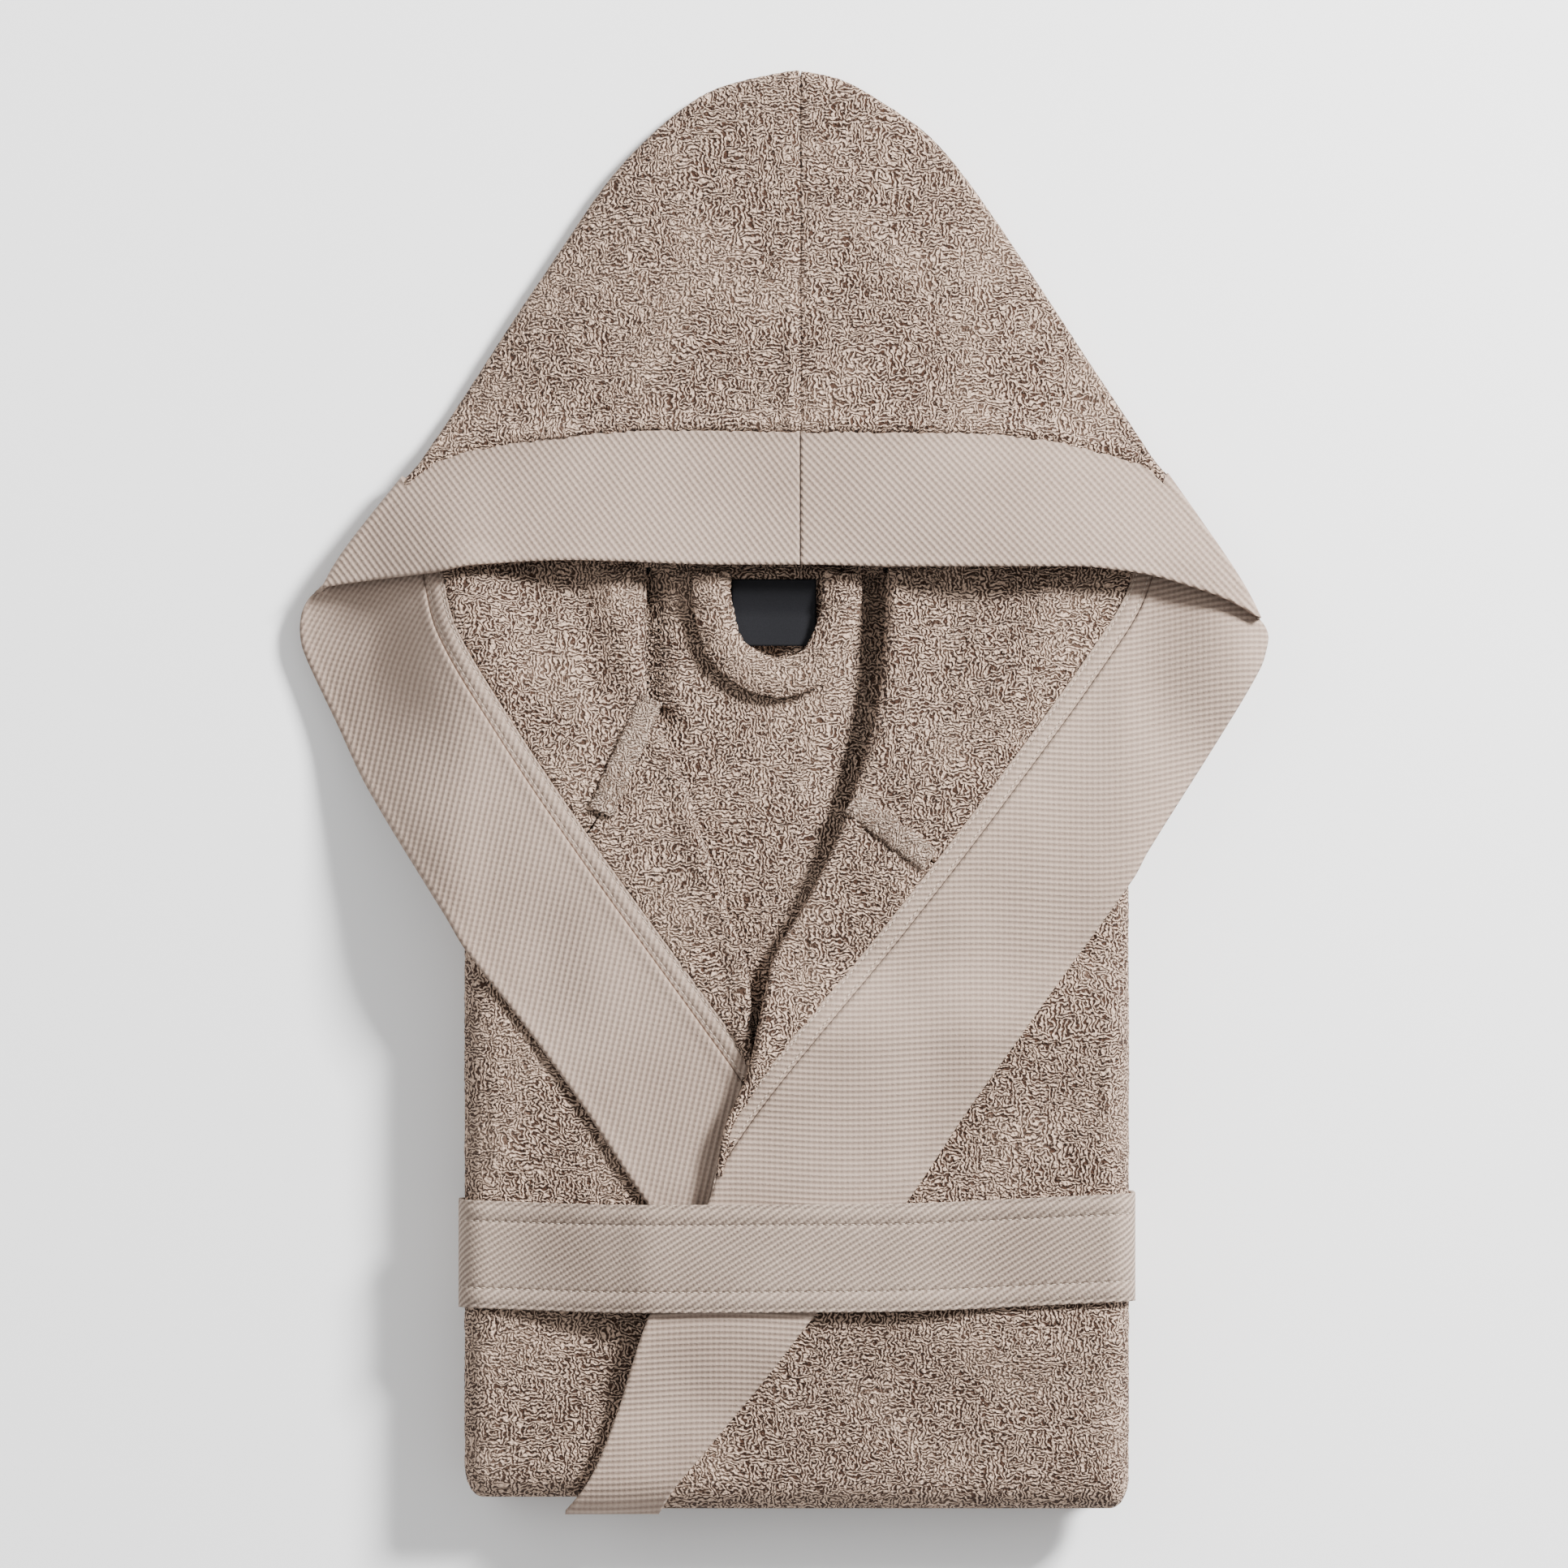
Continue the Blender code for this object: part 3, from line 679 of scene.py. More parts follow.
@dataclass(frozen=True)
class RibFinish(Finish):
    """Ribs read from the piece's own map, with a fine bead along each rib."""

    pitch: float = 2.4
    bead: float = 2.75
    second: float = 0.22
    depth: float = 0.0006
    grain_scale: float = 1400.0
    cloud_scale: float = 14.0

    def material(self, name: str) -> bpy.types.Material:
        """Return the ribbed material."""
        made, wiring = self.shader(name)
        own = wiring.add("ShaderNodeUVMap", {}, uv_map="Cloth").outputs[0]
        parts = wiring.add("ShaderNodeSeparateXYZ", {0: own}).outputs
        grain = wiring.noise(wiring.place, self.grain_scale, 1.0)[0]
        across = wiring.maths("MULTIPLY", parts[0], 2 * math.pi / (self.pitch * MM))
        nudged = wiring.maths("ADD", across, wiring.maths("MULTIPLY", grain, 1.5))
        rib = wiring.fit(wiring.maths("SINE", nudged), -1.0, 1.0)
        along = wiring.maths("MULTIPLY", parts[1], 2 * math.pi / (self.bead * MM))
        beads = wiring.fit(wiring.maths("SINE", along), -1.0, 1.0)
        cloud = wiring.noise(wiring.place, self.cloud_scale, 2.0)[0]
        height = wiring.weigh(rib, beads, self.second)
        tone = wiring.maths("ADD", wiring.fit(height, 0.0, 1.0, 0.12, 0.9),
                            wiring.fit(cloud, 0.3, 0.7, -0.1, 0.1))
        speck = wiring.maths("ADD", tone, wiring.fit(grain, 0.3, 0.7, -0.12, 0.12))
        colour = wiring.blend(speck, self.dark, self.light)
        wiring.dress(colour, wiring.bump(height, self.depth, 0.8))
        return made


@dataclass(frozen=True)
class SatinFinish(Finish):
    """The label's fine close weave."""

    line_scale: float = 900.0
    grain_scale: float = 2200.0

    def material(self, name: str) -> bpy.types.Material:
        """Return the satin material."""
        made, wiring = self.shader(name)
        lines = wiring.add("ShaderNodeTexWave", {"Vector": wiring.place,
                                                 "Scale": self.line_scale},
                           bands_direction="Y").outputs[1]
        grain = wiring.noise(wiring.place, self.grain_scale, 2.0)[0]
        tone = wiring.maths("MULTIPLY", lines, grain)
        wiring.dress(wiring.blend(tone, self.dark, self.light), wiring.bump(tone, 0.0001, 0.5))
        return made


class Wardrobe:
    """The robe's finishes, each made once."""

    def __init__(self) -> None:
        """Set the cloths' colours and make their materials."""
        terry = TerryFinish(Weave.TERRY, (0.565, 0.40, 0.30), (0.040, 0.018, 0.010), 0.95, 0.05)
        ribbed = RibFinish(Weave.RIBBED, (0.405, 0.307, 0.247), (0.18, 0.127, 0.098), 0.86, 0.04)
        twill = RibFinish(Weave.TWILL, (0.445, 0.343, 0.275), (0.11, 0.077, 0.06), 0.8, 0.04,
                          pitch=2.65, bead=1.9, second=0.14, depth=0.0008)
        satin = SatinFinish(Weave.SATIN, (0.02, 0.02, 0.024), (0.004, 0.004, 0.005), 0.55, 0.0)
        thread = RibFinish(Weave.RIBBED, (0.46, 0.37, 0.305), (0.34, 0.26, 0.205), 0.8, 0.0,
                           pitch=0.5, bead=0.5, depth=0.0001)
        pressed = TerryFinish(Weave.TERRY, (0.50, 0.372, 0.29), (0.13, 0.082, 0.058), 0.95, 0.05,
                              loop_scale=178.0)
        self.terry = terry.material("terry_loops")
        self.pressed = pressed.material("pressed_terry")
        self.ribbed = ribbed.material("ribbed_cotton")
        self.twill = twill.material("twill_cotton")
        self.satin = satin.material("black_satin")
        self.thread = thread.material("sewing_thread")


@dataclass(frozen=True)
class Cut:
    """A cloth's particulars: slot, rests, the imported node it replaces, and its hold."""

    weave: Weave
    rests: list[str]
    node: str | None = None
    held: str = "folded"


class Tailor:
    STITCH = (1.9 * MM, 0.55 * MM, 0.45 * MM, 1.0)

    def __init__(self, layout: Layout) -> None:
        """Keep the layout."""
        self.layout = layout

    def cloth(self, name: str, places: list[list[Spot]], wall: float,
              finish: bpy.types.Material, cut: Cut, maps: list[list[Point]] | None = None,
              kept: Callable[[int, int], bool] | None = None) -> None:
        """Make a cloth shell on a grid of middle points, with its wall as a live modifier.

        Args:
            name: the object's name.
            places: rows of points in millimetres.
            wall: the wall in millimetres.
            finish: the material.
            cut: what the cloth is, of which only its node is used.
            maps: the cloth's own map at each point, in millimetres, or None for its x and y.
            kept: whether the face after column i and row j stays.
        """
        maps = maps or [[(x, y) for x, y, _ in row] for row in places]
        rows, columns = len(places), len(places[0])
        bm = bmesh.new()
        bmesh.ops.create_grid(bm, x_segments=columns - 1, y_segments=rows - 1, size=1.0)
        own = bm.loops.layers.uv.new("Cloth")
        where = {}
        for vert in bm.verts:
            i = round((vert.co.x + 1) / 2 * (columns - 1))
            j = round((vert.co.y + 1) / 2 * (rows - 1))
            where[vert] = (i, j)
            x, y, z = places[j][i]
            vert.co = Vector((x, y, max(z, wall / 2 + 0.05))) * MM + self.layout.shift
        dropped = []
        for face in bm.faces:
            spots = [where[vert] for vert in face.verts]
            first = min(spot[0] for spot in spots), min(spot[1] for spot in spots)
            if kept is not None and not kept(*first):
                dropped.append(face)
                continue
            for loop in face.loops:
                i, j = where[loop.vert]
                loop[own].uv = Vector(maps[j][i]) * MM
        if dropped:
            bmesh.ops.delete(bm, geom=dropped, context="FACES")
        bmesh.ops.recalc_face_normals(bm, faces=bm.faces)
        made = self.add(name, bm, finish)
        solid = made.modifiers.new("Wall", "SOLIDIFY")
        solid.thickness = wall * MM
        solid.offset = 0.0
        self.declare(made, places, cut, kept)

    def add(self, name: str, bm: bmesh.types.BMesh,
            finish: bpy.types.Material) -> bpy.types.Object:
        """Turn a bmesh into a smooth object with its material."""
        mesh = mesh_from(name, bm, finish)
        mesh.shade_smooth()
        return link_object(name, mesh)

    def claim(self, made: bpy.types.Object, node: str | None = None) -> None:
        """Put an object on the root body and hide the node that it replaces."""
        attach(made, "root")
        if node:
            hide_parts(node)

    def stitches(self, name: str, seats: list[tuple[Vector, Vector]], lift: float,
                 thread: bpy.types.Material) -> None:
        """Sew stitches, each a small low bar along its seam.

        Args:
            name: the object's name.
            seats: each stitch's middle on the cloth's middle surface, and a point further
                along the seam, in millimetres.
            lift: how far the stitches lie above that surface.
            thread: the material.
        """
        bm = bmesh.new()
        for at, towards in seats:
            along = (towards - at).normalized()
            across = Vector((0, 0, 1)).cross(along).normalized()
            up = along.cross(across)
            turn = Matrix((along, across, up)).transposed().to_4x4()
            place = Matrix.Translation((at + up * lift) * MM + self.layout.shift)
            size = Matrix.Diagonal(self.STITCH)
            bmesh.ops.create_cube(bm, size=1.0, matrix=place @ turn @ size)
        self.claim(self.add(name, bm, thread))

    def declare(self, made: bpy.types.Object, places: list[list[Spot]], cut: Cut,
                kept: Callable[[int, int], bool] | None = None) -> None:
        """Put a shell on the root body, hide the node that it replaces, and go over its faces to
        no effect.

        Args:
            made: the shell.
            places: its rows of points, gone over face by face.
            cut: what the cloth is, of which only its node is used.
            kept: whether a face stays, as in cloth.
        """
        self.claim(made, cut.node)
        for j in range(len(places) - 1):
            for i in range(len(places[0]) - 1):
                kept is None or kept(i, j)

    def fuzz(self, x: float, y: float, size: float) -> float:
        """Return the pile's small unevenness at a place."""
        return size * (ripple(x * 0.55, y * 0.55, 3.1) + 0.5 * ripple(x * 0.16, y * 0.16, 9.7))


@dataclass
class FoldedLayers:
    """The hidden folded layers, seen only round the bundle's sides and end."""

    layout: Layout
    source: bpy.types.Object
    voxel: float = 3.2
    layer: float = 5.2
    groove: float = 1.1
    inset: float = 0.5
    reach: float = 90.0
    low: float = -122.0
    high: float = 116.0
    first_line: float = 2.0
    rough: float = 0.5
    rough_scale: float = 190.0

    def build(self, tailor: Tailor, finish: bpy.types.Material) -> None:
        """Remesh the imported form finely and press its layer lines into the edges."""
        bm = bmesh.new()
        bm.from_mesh(self.source.data)
        bmesh.ops.remove_doubles(bm, verts=bm.verts, dist=0.01 * MM)
        made = tailor.add("folded_layers_cloth", bm, finish)
        remesh = made.modifiers.new("Even", "REMESH")
        remesh.mode = "VOXEL"
        remesh.voxel_size = self.voxel * MM
        graph = bpy.context.evaluated_depsgraph_get()
        mesh = bpy.data.meshes.new_from_object(made.evaluated_get(graph))
        made.modifiers.clear()
        made.data = mesh
        normals = [vert.normal.copy() for vert in mesh.vertices]
        for vert, normal in zip(mesh.vertices, normals):
            z = vert.co.z / MM
            side = smooth(1.4 * math.hypot(normal.x, normal.y) - 0.3)
            if normal.z > -0.7:
                line = abs(math.sin(math.pi * (z - self.first_line) / self.layer)) ** 0.6
                rough = noise.noise(vert.co * self.rough_scale) * self.rough
                vert.co -= normal * (self.inset + side * (self.groove * (1 - line) - rough)) * MM
            place = (vert.co - self.layout.shift) / MM
            within = abs(place.x - self.layout.nape_x) < self.reach
            if within and self.low < place.y < self.high:
                limit = self.layout.back_height(place.y) - self.layout.terry
                limit -= self.layout.back_dip(place.x, place.y)
                vert.co.z = min(vert.co.z, limit * MM)
            vert.co.z = max(vert.co.z, 0.0)
        mesh.shade_smooth()
        tailor.claim(made, "folded_layers")


@dataclass
class Back:
    """The inside of the back, in the V below the nape."""

    layout: Layout

    def build(self, tailor: Tailor, finish: bpy.types.Material) -> None:
        """Make the back's shell."""
        lay = self.layout
        places = []
        for y in spread(lay.back_low, lay.nape_y + 3, 200):
            hidden = mix(12.0, -3.0, smooth((y - 105) / 4))
            left = lay.left_edge(y) - hidden
            right = lay.roll[Side.RIGHT].at(y) + hidden
            places.append([(x, y, lay.back_height(y) + tailor.fuzz(x, y, 0.4)
                            - lay.back_dip(x, y)) for x in spread(left, right, 110)])
        tailor.cloth("back_cloth", places, lay.pile_wall, finish,
                     Cut(Weave.TERRY, ["folded_layers_cloth"], "back", "laid"))


@dataclass
class Front:
    """A front: round the bundle's side and end, across its top and out as a lapel."""

    layout: Layout
    side: Side
    creases: list[Crease]
    side_count: int = 16
    top_count: int = 78
    turn_count: int = 8
    lapel_count: int = 44
    puff: float = 1.7

    def row(self, tailor: Tailor, y: float, angle: float) -> list[Spot]:
        """Work out one row, from the side groove to the band's groove.

        Args:
            tailor: gives the pile's unevenness.
            y: the row's place, where it isn't in the end roll.
            angle: the place in the end roll, 90 on top.

        Returns:
            The row's middle points.
        """
        lay, side, sign = self.layout, self.side, self.side.value
        radius_end = lay.end_radius + lay.gap + lay.terry / 2
        bend = math.radians(angle)
        drop_end = radius_end * (1 - math.sin(bend))
        inset = lay.plan_corner * (1 - math.sin(bend))
        row_y = y
        if angle < 90:
            end = side.pick(lay.end_left, lay.end_right)
            row_y = end + lay.terry / 2 + radius_end * (1 - math.cos(bend))
        edge = side.pick(-lay.left, lay.right)
        lift = side.pick(0.0, lay.rise(row_y))
        high = lay.top(row_y) + lift + lay.gap + lay.terry / 2
        radius = lay.lobe(row_y) + lay.gap + lay.terry / 2
        centre = edge - lay.terry / 2 - inset - radius
        tall = radius + lift / 2
        points: list[Spot] = []
        for turn in spread(-76, 84, self.side_count):
            out = math.radians(turn)
            drop = ((tall * (1 - math.sin(out))) ** 4 + drop_end ** 4) ** 0.25
            ruff = 1 + tailor.fuzz(turn * 0.4 + 31, row_y, 0.5) / radius
            points.append((sign * (centre + radius * ruff * math.cos(out)), row_y, high - drop))
        roll = lay.roll[side].at(row_y)
        turn_radius = lay.step / 2
        tall_turn = (lay.step + self.puff) / 2
        start = roll + sign * (turn_radius + lay.terry / 2)
        for x in spread(sign * centre, start, self.top_count):
            z = high - drop_end + tailor.fuzz(x, row_y, 0.5)
            z += lay.swell(x, row_y) * smooth((row_y - lay.end_left - 10) / 30)
            z += lifted(self.creases, x, row_y)
            points.append((x, row_y, z))
        for turn in spread(20, 160, self.turn_count):
            out = math.radians(turn)
            wave = 0.5 * ripple(turn * 0.02, row_y * 0.05, 5.0)
            points.append((start - sign * (turn_radius + wave) * math.sin(out), row_y,
                           high - drop_end + tall_turn * (1 - math.cos(out))))
        groove = lay.groove_y[side].at(row_y)
        strip = lay.neck_y[side].at(row_y)
        end_x = side.pick(max, min)(groove, strip) - sign * 0.5
        end_x = side.pick(min, max)(end_x, start + sign * 2.0)
        for x in spread(start, end_x, self.lapel_count):
            z = lay.lapel(x, row_y, side) - drop_end + tailor.fuzz(x, row_y, 0.5)
            z -= lay.recess(x, row_y, side)
            z += self.puff * smooth(1 - abs(x - start) / 10)
            points.append((x, row_y, z))
        return points

    def build(self, tailor: Tailor, finish: bpy.types.Material) -> None:
        """Make the front's shell, without the lapel where the band takes over."""
        lay, side = self.layout, self.side
        upper, last = side.pick((30.0, -156.0), (-14.0, -190.0))
        end = lay.end_radius + lay.gap + lay.terry / 2
        flat_from = side.pick(lay.end_left, lay.end_right) + lay.terry / 2 + end + 1.0
        places = [self.row(tailor, 0.0, angle) for angle in spread(-8, 84, 14)]
        places += [self.row(tailor, y, 90.0) for y in spread(flat_from, upper, 216)]
        turn_from = self.side_count + self.top_count - 1

        def kept(i: int, j: int) -> bool:
            """Return whether a face stays."""
            return i < turn_from + 4 or places[j][i][1] > last

        name = f"front_{side.word}"
        rests = ["folded_layers_cloth", *side.pick([], ["front_left_cloth"])]
        tailor.cloth(f"{name}_cloth", places, lay.pile_wall, finish,
                     Cut(Weave.TERRY, rests, name), kept=kept)


@dataclass
class Hood:
    """Half of the hood: upper layer, fold round the outline, lower layer and cheek."""

    layout: Layout
    side: Side
    creases: list[Crease]
    cheek_creases: list[Crease]
    over_count: int = 92
    fold_count: int = 8
    under_count: int = 60
    cheek_count: int = 66
    roll_drop: float = 3.0
    puff: float = 1.5
    ridge_reach: float = 4.95
    ridge_height: float = 2.3

    def seam_ridge(self, x: float, y: float, seam: float) -> float:
        """Return how far the seam allowances lift the pile along brim and centre."""
        tuft = 1 + 0.45 * ripple(x * 0.6, y * 0.6, 1.7)
        ridge = self.ridge_height * tuft * bell(y - seam - 3.6, self.ridge_reach)
        if self.side is Side.LEFT:
            middle = bell(self.layout.seam_x - 4.6 - x, 5.2)
            ridge += 1.9 * tuft * middle * smooth((250 - y) / 26) * smooth((y - seam) / 6)
        return ridge - 1.1 * bell(x - self.layout.seam_x, 4.0)

    def column(self, tailor: Tailor, x: float) -> list[Spot]:
        """Work out one column, from the brim's seam over the crown to the cheek's end.

        Args:
            tailor: gives the pile's unevenness.
            x: the column's place.

        Returns:
            The column's middle points.
        """
        lay, side = self.layout, self.side
        out = lay.crown_at(x, side) - lay.terry / 2
        seam = lay.brim_seam.at(x) - 1.0 + 1.3 * ripple(x * 0.5, 0.0, 7.3)
        radius = max(min(lay.edge_open / 2, 0.6 + (out - seam) * 0.5), 0.6)
        turned = max(out - radius, seam + 0.3)
        points: list[Spot] = []
        for y in spread(seam, turned, self.over_count):
            z = lay.hood_over(x, y) + tailor.fuzz(x, y, 0.6) + self.seam_ridge(x, y, seam)
            z += lifted(self.creases, x, y) * smooth((out - y) / 14)
            points.append((x, y, z))
        under = lay.hood_under(x, turned)
        over = points[-1][2]
        for angle in spread(18, 162, self.fold_count):
            a = math.radians(angle)
            ruff = 0.35 * ripple(x * 0.5, angle * 0.03, 2.0)
            points.append((x + side.value * 0.3 * math.sin(a),
                           turned + (radius + ruff) * math.sin(a),
                           mix(under, over, (1 + math.cos(a)) / 2)))
        low = lay.nape_y - 4
        for _ in range(14):  # the column slides sideways on its way down
            low = mix(low, lay.cheek_end(x + lay.cheek_slide(x, low, side), side), 0.7)
        outside = abs(x) > lay.cheek_out
        if outside or abs(x - lay.nape_x) < lay.nape_half:
            low = lay.nape_y - 4
        last = lay.nape_y
        if outside:
            last = min(max(lay.cheek_end(x, side), last), turned - 0.5)
        for y in spread(turned, last, self.under_count):
            points.append((x, y, lay.hood_under(x, y)))
        for y in spread(lay.nape_y, low, self.cheek_count)[1:]:
            place = x + lay.cheek_slide(x, y, side)
            z = lay.lapel(place, y, side) + tailor.fuzz(place, y, 0.5)
            z -= lay.recess(place, y, side)
            z += lifted(self.cheek_creases, place, y)
            near = abs(x - lay.cheek_from[side])
            z += self.puff * bell(near - 6, 7) - self.roll_drop * smooth(1 - near / 4)
            points.append((place, y, z))
        return points

    def build(self, tailor: Tailor, finish: bpy.types.Material) -> None:
        """Make the hood half's shell."""
        lay, side, sign = self.layout, self.side, self.side.value
        inner = spread(lay.seam_x + sign * 0.3, *side.pick((-62, 44), (44, 24)))
        cheek = spread(lay.cheek_from[side], sign * 176.3, side.pick(68, 80))
        outer = spread(sign * 177.6, side.pick(-187.4, 188.3), 8)
        cheeks = range(len(inner), len(inner) + len(cheek) - 1)
        places = [self.column(tailor, x) for x in inner + cheek + outer]
        under_from = self.over_count + self.fold_count + self.under_count - 1

        def kept(i: int, j: int) -> bool:
            """Return whether a face stays."""
            return i < under_from or j in cheeks

        name = f"hood_{side.word}"
        tailor.cloth(f"{name}_cloth", places, lay.pile_wall, finish,
                     Cut(Weave.TERRY, ["folded_layers_cloth", "floor"], name), kept=kept)


@dataclass
class Band:
    """The ribbed band: along the brim, round the hood's corner and down a front."""

    layout: Layout
    side: Side
    across: int = 44
    brim_count: int = 120
    fold_count: int = 9
    hem: float = 0.5
    brim_ribs: float = 0.86
    lapel_ribs: float = 0.855

    def edge_puff(self, part: float) -> float:
        """Return how far the doubled band rounds up beside its seam and its free edge."""
        return self.hem * (bell(part - 0.03, 0.06) + bell(part - 0.97, 0.05))

    def wrap(self, y: float) -> float:
        """Return the drop where the right band wraps the bundle's lower end."""
        lay = self.layout
        inner = lay.end_radius + lay.gap + lay.terry / 2
        radius = inner + lay.step
        past = min(max(lay.end_right + lay.terry / 2 + inner - y, 0.0), radius * 0.985)
        return radius - math.sqrt(radius ** 2 - past ** 2)

    def rib_map(self, x: float, y: float, folded: bool) -> Point:
        """Return a place across and along the ribs, before and after the corner fold.

        Args:
            x: the place.
            y: the place.
            folded: whether it is past the fold, on the lapel.

        Returns:
            The distance across the ribs and the distance along them.
        """
        turn, sway, size = self.side.pick(37, 43), 0.0, self.brim_ribs
        if folded:
            turn, size = self.side.pick(-13, 90), self.lapel_ribs
            bow = 1.2 * math.sin(x * 0.05) - 9 * smooth((x - 150) / 90)
            sway = self.side.pick(0.022 * max(y - 50, 0.0) ** 2, bow)
        turn = math.radians(turn)
        return (size * (x * math.cos(turn) + (y + sway) * math.sin(turn)),
                -x * math.sin(turn) + y * math.cos(turn))

    def build(self, tailor: Tailor, finish: bpy.types.Material) -> None:
        """Make the band's shell."""
        lay, side, sign = self.layout, self.side, self.side.value
        seam_out = side.pick((-185.6, 149.8), (186.6, 151.8))
        free_out = side.pick((-228.0, 100.0), (235.0, 84.0))
        start = lay.seam_x + sign * 0.25
        parts = spread(0, 1, self.across)
        places: list[list[Spot]] = []
        for share in spread(0, 1, self.brim_count):
            x_seam, x_free = mix(start, seam_out[0], share), mix(start, free_out[0], share)
            y_seam, y_free = lay.brim_seam.at(x_seam) - 0.4, lay.brim_edge.at(x_free)
            row = []
            for part in parts:
                x, y = mix(x_seam, x_free, part), mix(y_seam, y_free, part)
                row.append((x, y, lay.hood_over(x, y) + self.edge_puff(part)))
            places.append(row)
        edge = places[-1]
        for angle in spread(18, 162, self.fold_count):
            a = math.radians(angle)
            out = [3.0 * math.sin(a) * (1 - part ** 5) for part in parts]
            places.append([(x + sign * push, y + 0.8 * push,
                            mix(lay.lapel(x, y, side), z, (1 + math.cos(a)) / 2))
                           for (x, y, z), push in zip(edge, out)])
        fold_to = len(places)
        shares = side.pick(spread(0, 1, 200), spread(0, 0.945, 220) + spread(0.948, 1.0, 30))
        for share in shares:
            a = seam_out if share == 0 else lay.groove[side].at(share)
            b = free_out if share == 0 else lay.free[side].at(share)
            row = []
            for part in parts:
                x, y = mix(a[0], b[0], part), mix(a[1], b[1], part)
                sag = 0.7 * math.sin(math.pi * part) * ripple(x * 0.012, y * 0.012, 4.4)
                z = lay.lapel(x, y, side) - self.wrap(y) + self.edge_puff(part) + sag
                row.append((x, y, z))
            places.append(row)
        maps = [[self.rib_map(x, y, j >= fold_to) for x, y, _ in row]
                for j, row in enumerate(places)]
        name = f"band_{side.word}"
        tailor.cloth(f"{name}_cloth", places, lay.band, finish,
                     Cut(Weave.RIBBED, [f"front_{side.word}_cloth"], name), maps)


@dataclass
class SeamStrip:
    """The flat topstitched strip between a band's groove and the pile, with its stitches."""

    layout: Layout
    side: Side
    wall: float = 0.9
    pitch: float = 3.0
    rows: Point = (0.2, 0.82)

    def spot(self, share: float, part: float) -> Spot:
        """Return a place on the strip, at a share of its length and of its width."""
        lay, side = self.layout, self.side
        off = mix(0.15, lay.strip_to, part) * side.value
        px, py = lay.groove[side].beside(share, off)
        if side is Side.RIGHT:
            px = max(px, lay.roll[side].at(py) + 0.6)
        rise = lay.terry / 2 + self.wall / 2 - lay.strip_press + 0.5
        rise += 0.5 * bell(part - 0.5, 0.3) - 0.9 * bell(part, 0.14)
        rise -= 0.4 * sum(bell(part - row, 0.12) for row in self.rows)
        return px, py, lay.lapel(px, py, side) + rise

    def build(self, tailor: Tailor, finish: bpy.types.Material,
              thread: bpy.types.Material) -> None:
        """Make the strip and its two rows of stitches."""
        first, last = self.side.pick((0.09, 0.96), (0.066, 0.735))
        shares = spread(first, last, 300)
        parts = spread(0, 1, 15)
        places = [[self.spot(share, part) for part in parts] for share in shares]
        band = Band(self.layout, self.side)
        maps = [[band.rib_map(x, y, True) for x, y, _ in row] for row in places]
        name = f"seam_strip_{self.side.word}"
        tailor.cloth(name, places, self.wall, finish,
                     Cut(Weave.RIBBED, [f"front_{self.side.word}_cloth"], held="laid"), maps)
        middle = len(parts) // 2
        length = sum(math.dist(a[middle], b[middle]) for a, b in zip(places, places[1:]))
        seats = [(Vector(self.spot(share, part)), Vector(self.spot(share + 0.002, part)))
                 for part in self.rows
                 for share in spread(first, last, int(length / self.pitch))]
        tailor.stitches(f"{name}_stitches", seats, self.wall / 2, thread)


@dataclass
class NeckSeam:
    """The strip of pile where the hood's cheek is joined to the front."""

    layout: Layout
    side: Side

    def build(self, tailor: Tailor, finish: bpy.types.Material) -> None:
        """Make the strip's shell."""
        lay, path = self.layout, self.layout.neck[self.side]
        lift = lay.terry / 2 + lay.trim / 2 + 0.9
        proud = self.side.pick(0.9, 0.4)
        places = []
        for share in spread(-0.07, 0.97, 70):
            row = []
            for part in spread(-1, 1, 18):
                ragged = 6.0 + 1.3 * ripple(share * 22, part * 0.5, 3.3)
                px, py = path.beside(share, part * ragged)
                z = lay.lapel(px, py, self.side) + lift + tailor.fuzz(px * 2, py * 2, 0.5)
                row.append((px, py, z - 1.7 * part ** 4 + proud))
            places.append(row)
        name = f"neck_seam_{self.side.word}"
        tailor.cloth(f"{name}_cloth", places, lay.trim, finish,
                     Cut(Weave.TERRY, [f"hood_{self.side.word}_cloth"], name, "laid"))


@dataclass
class HangingLoop:
    """The rounded terry loop at the nape."""

    layout: Layout
    width: float = 18.0
    raised: float = 2.4

    def build(self, tailor: Tailor, finish: bpy.types.Material) -> None:
        """Make the loop's shell, crowned across its width."""
        lay = self.layout
        path = Path([(-36, 108), (-35, 90), (-27, 68), (-6, 56), (16, 63), (27, 86),
                     (29, 108)])
        lift = lay.terry + lay.label + 0.5
        places = []
        for share in spread(0, 1, 150):
            row = []
            for part in spread(-1, 1, 22):
                px, py = path.beside(share, part * self.width / 2)
                z = lay.back_height(py) + lift + self.raised + 3.0 * (1 - part * part)
                row.append((px, py, z + tailor.fuzz(px * 1.6, py * 1.6, 0.9)))
            places.append(row)
        tailor.cloth("hanging_loop_cloth", places, lay.terry, finish,
                     Cut(Weave.TERRY, ["back_cloth"], "hanging_loop", "laid"))


@dataclass
class Label:
    """The bare black label between the loop's ends."""

    layout: Layout
    low: float = 72.0
    high: float = 105.0
    right: float = 16.0

    def build(self, tailor: Tailor, finish: bpy.types.Material) -> None:
        """Make the label's shell."""
        lay = self.layout
        places = []
        for y in spread(self.low, self.high, 40):
            z = lay.back_height(y) + lay.terry / 2 + lay.label / 2 + 0.3
            places.append([(x, y, z + 0.25 * math.sin(x * 0.11))
                           for x in spread(lay.label_left, self.right, 40)])
        tailor.cloth("label_cloth", places, lay.label, finish,
                     Cut(Weave.SATIN, ["back_cloth"], "label", "laid"))


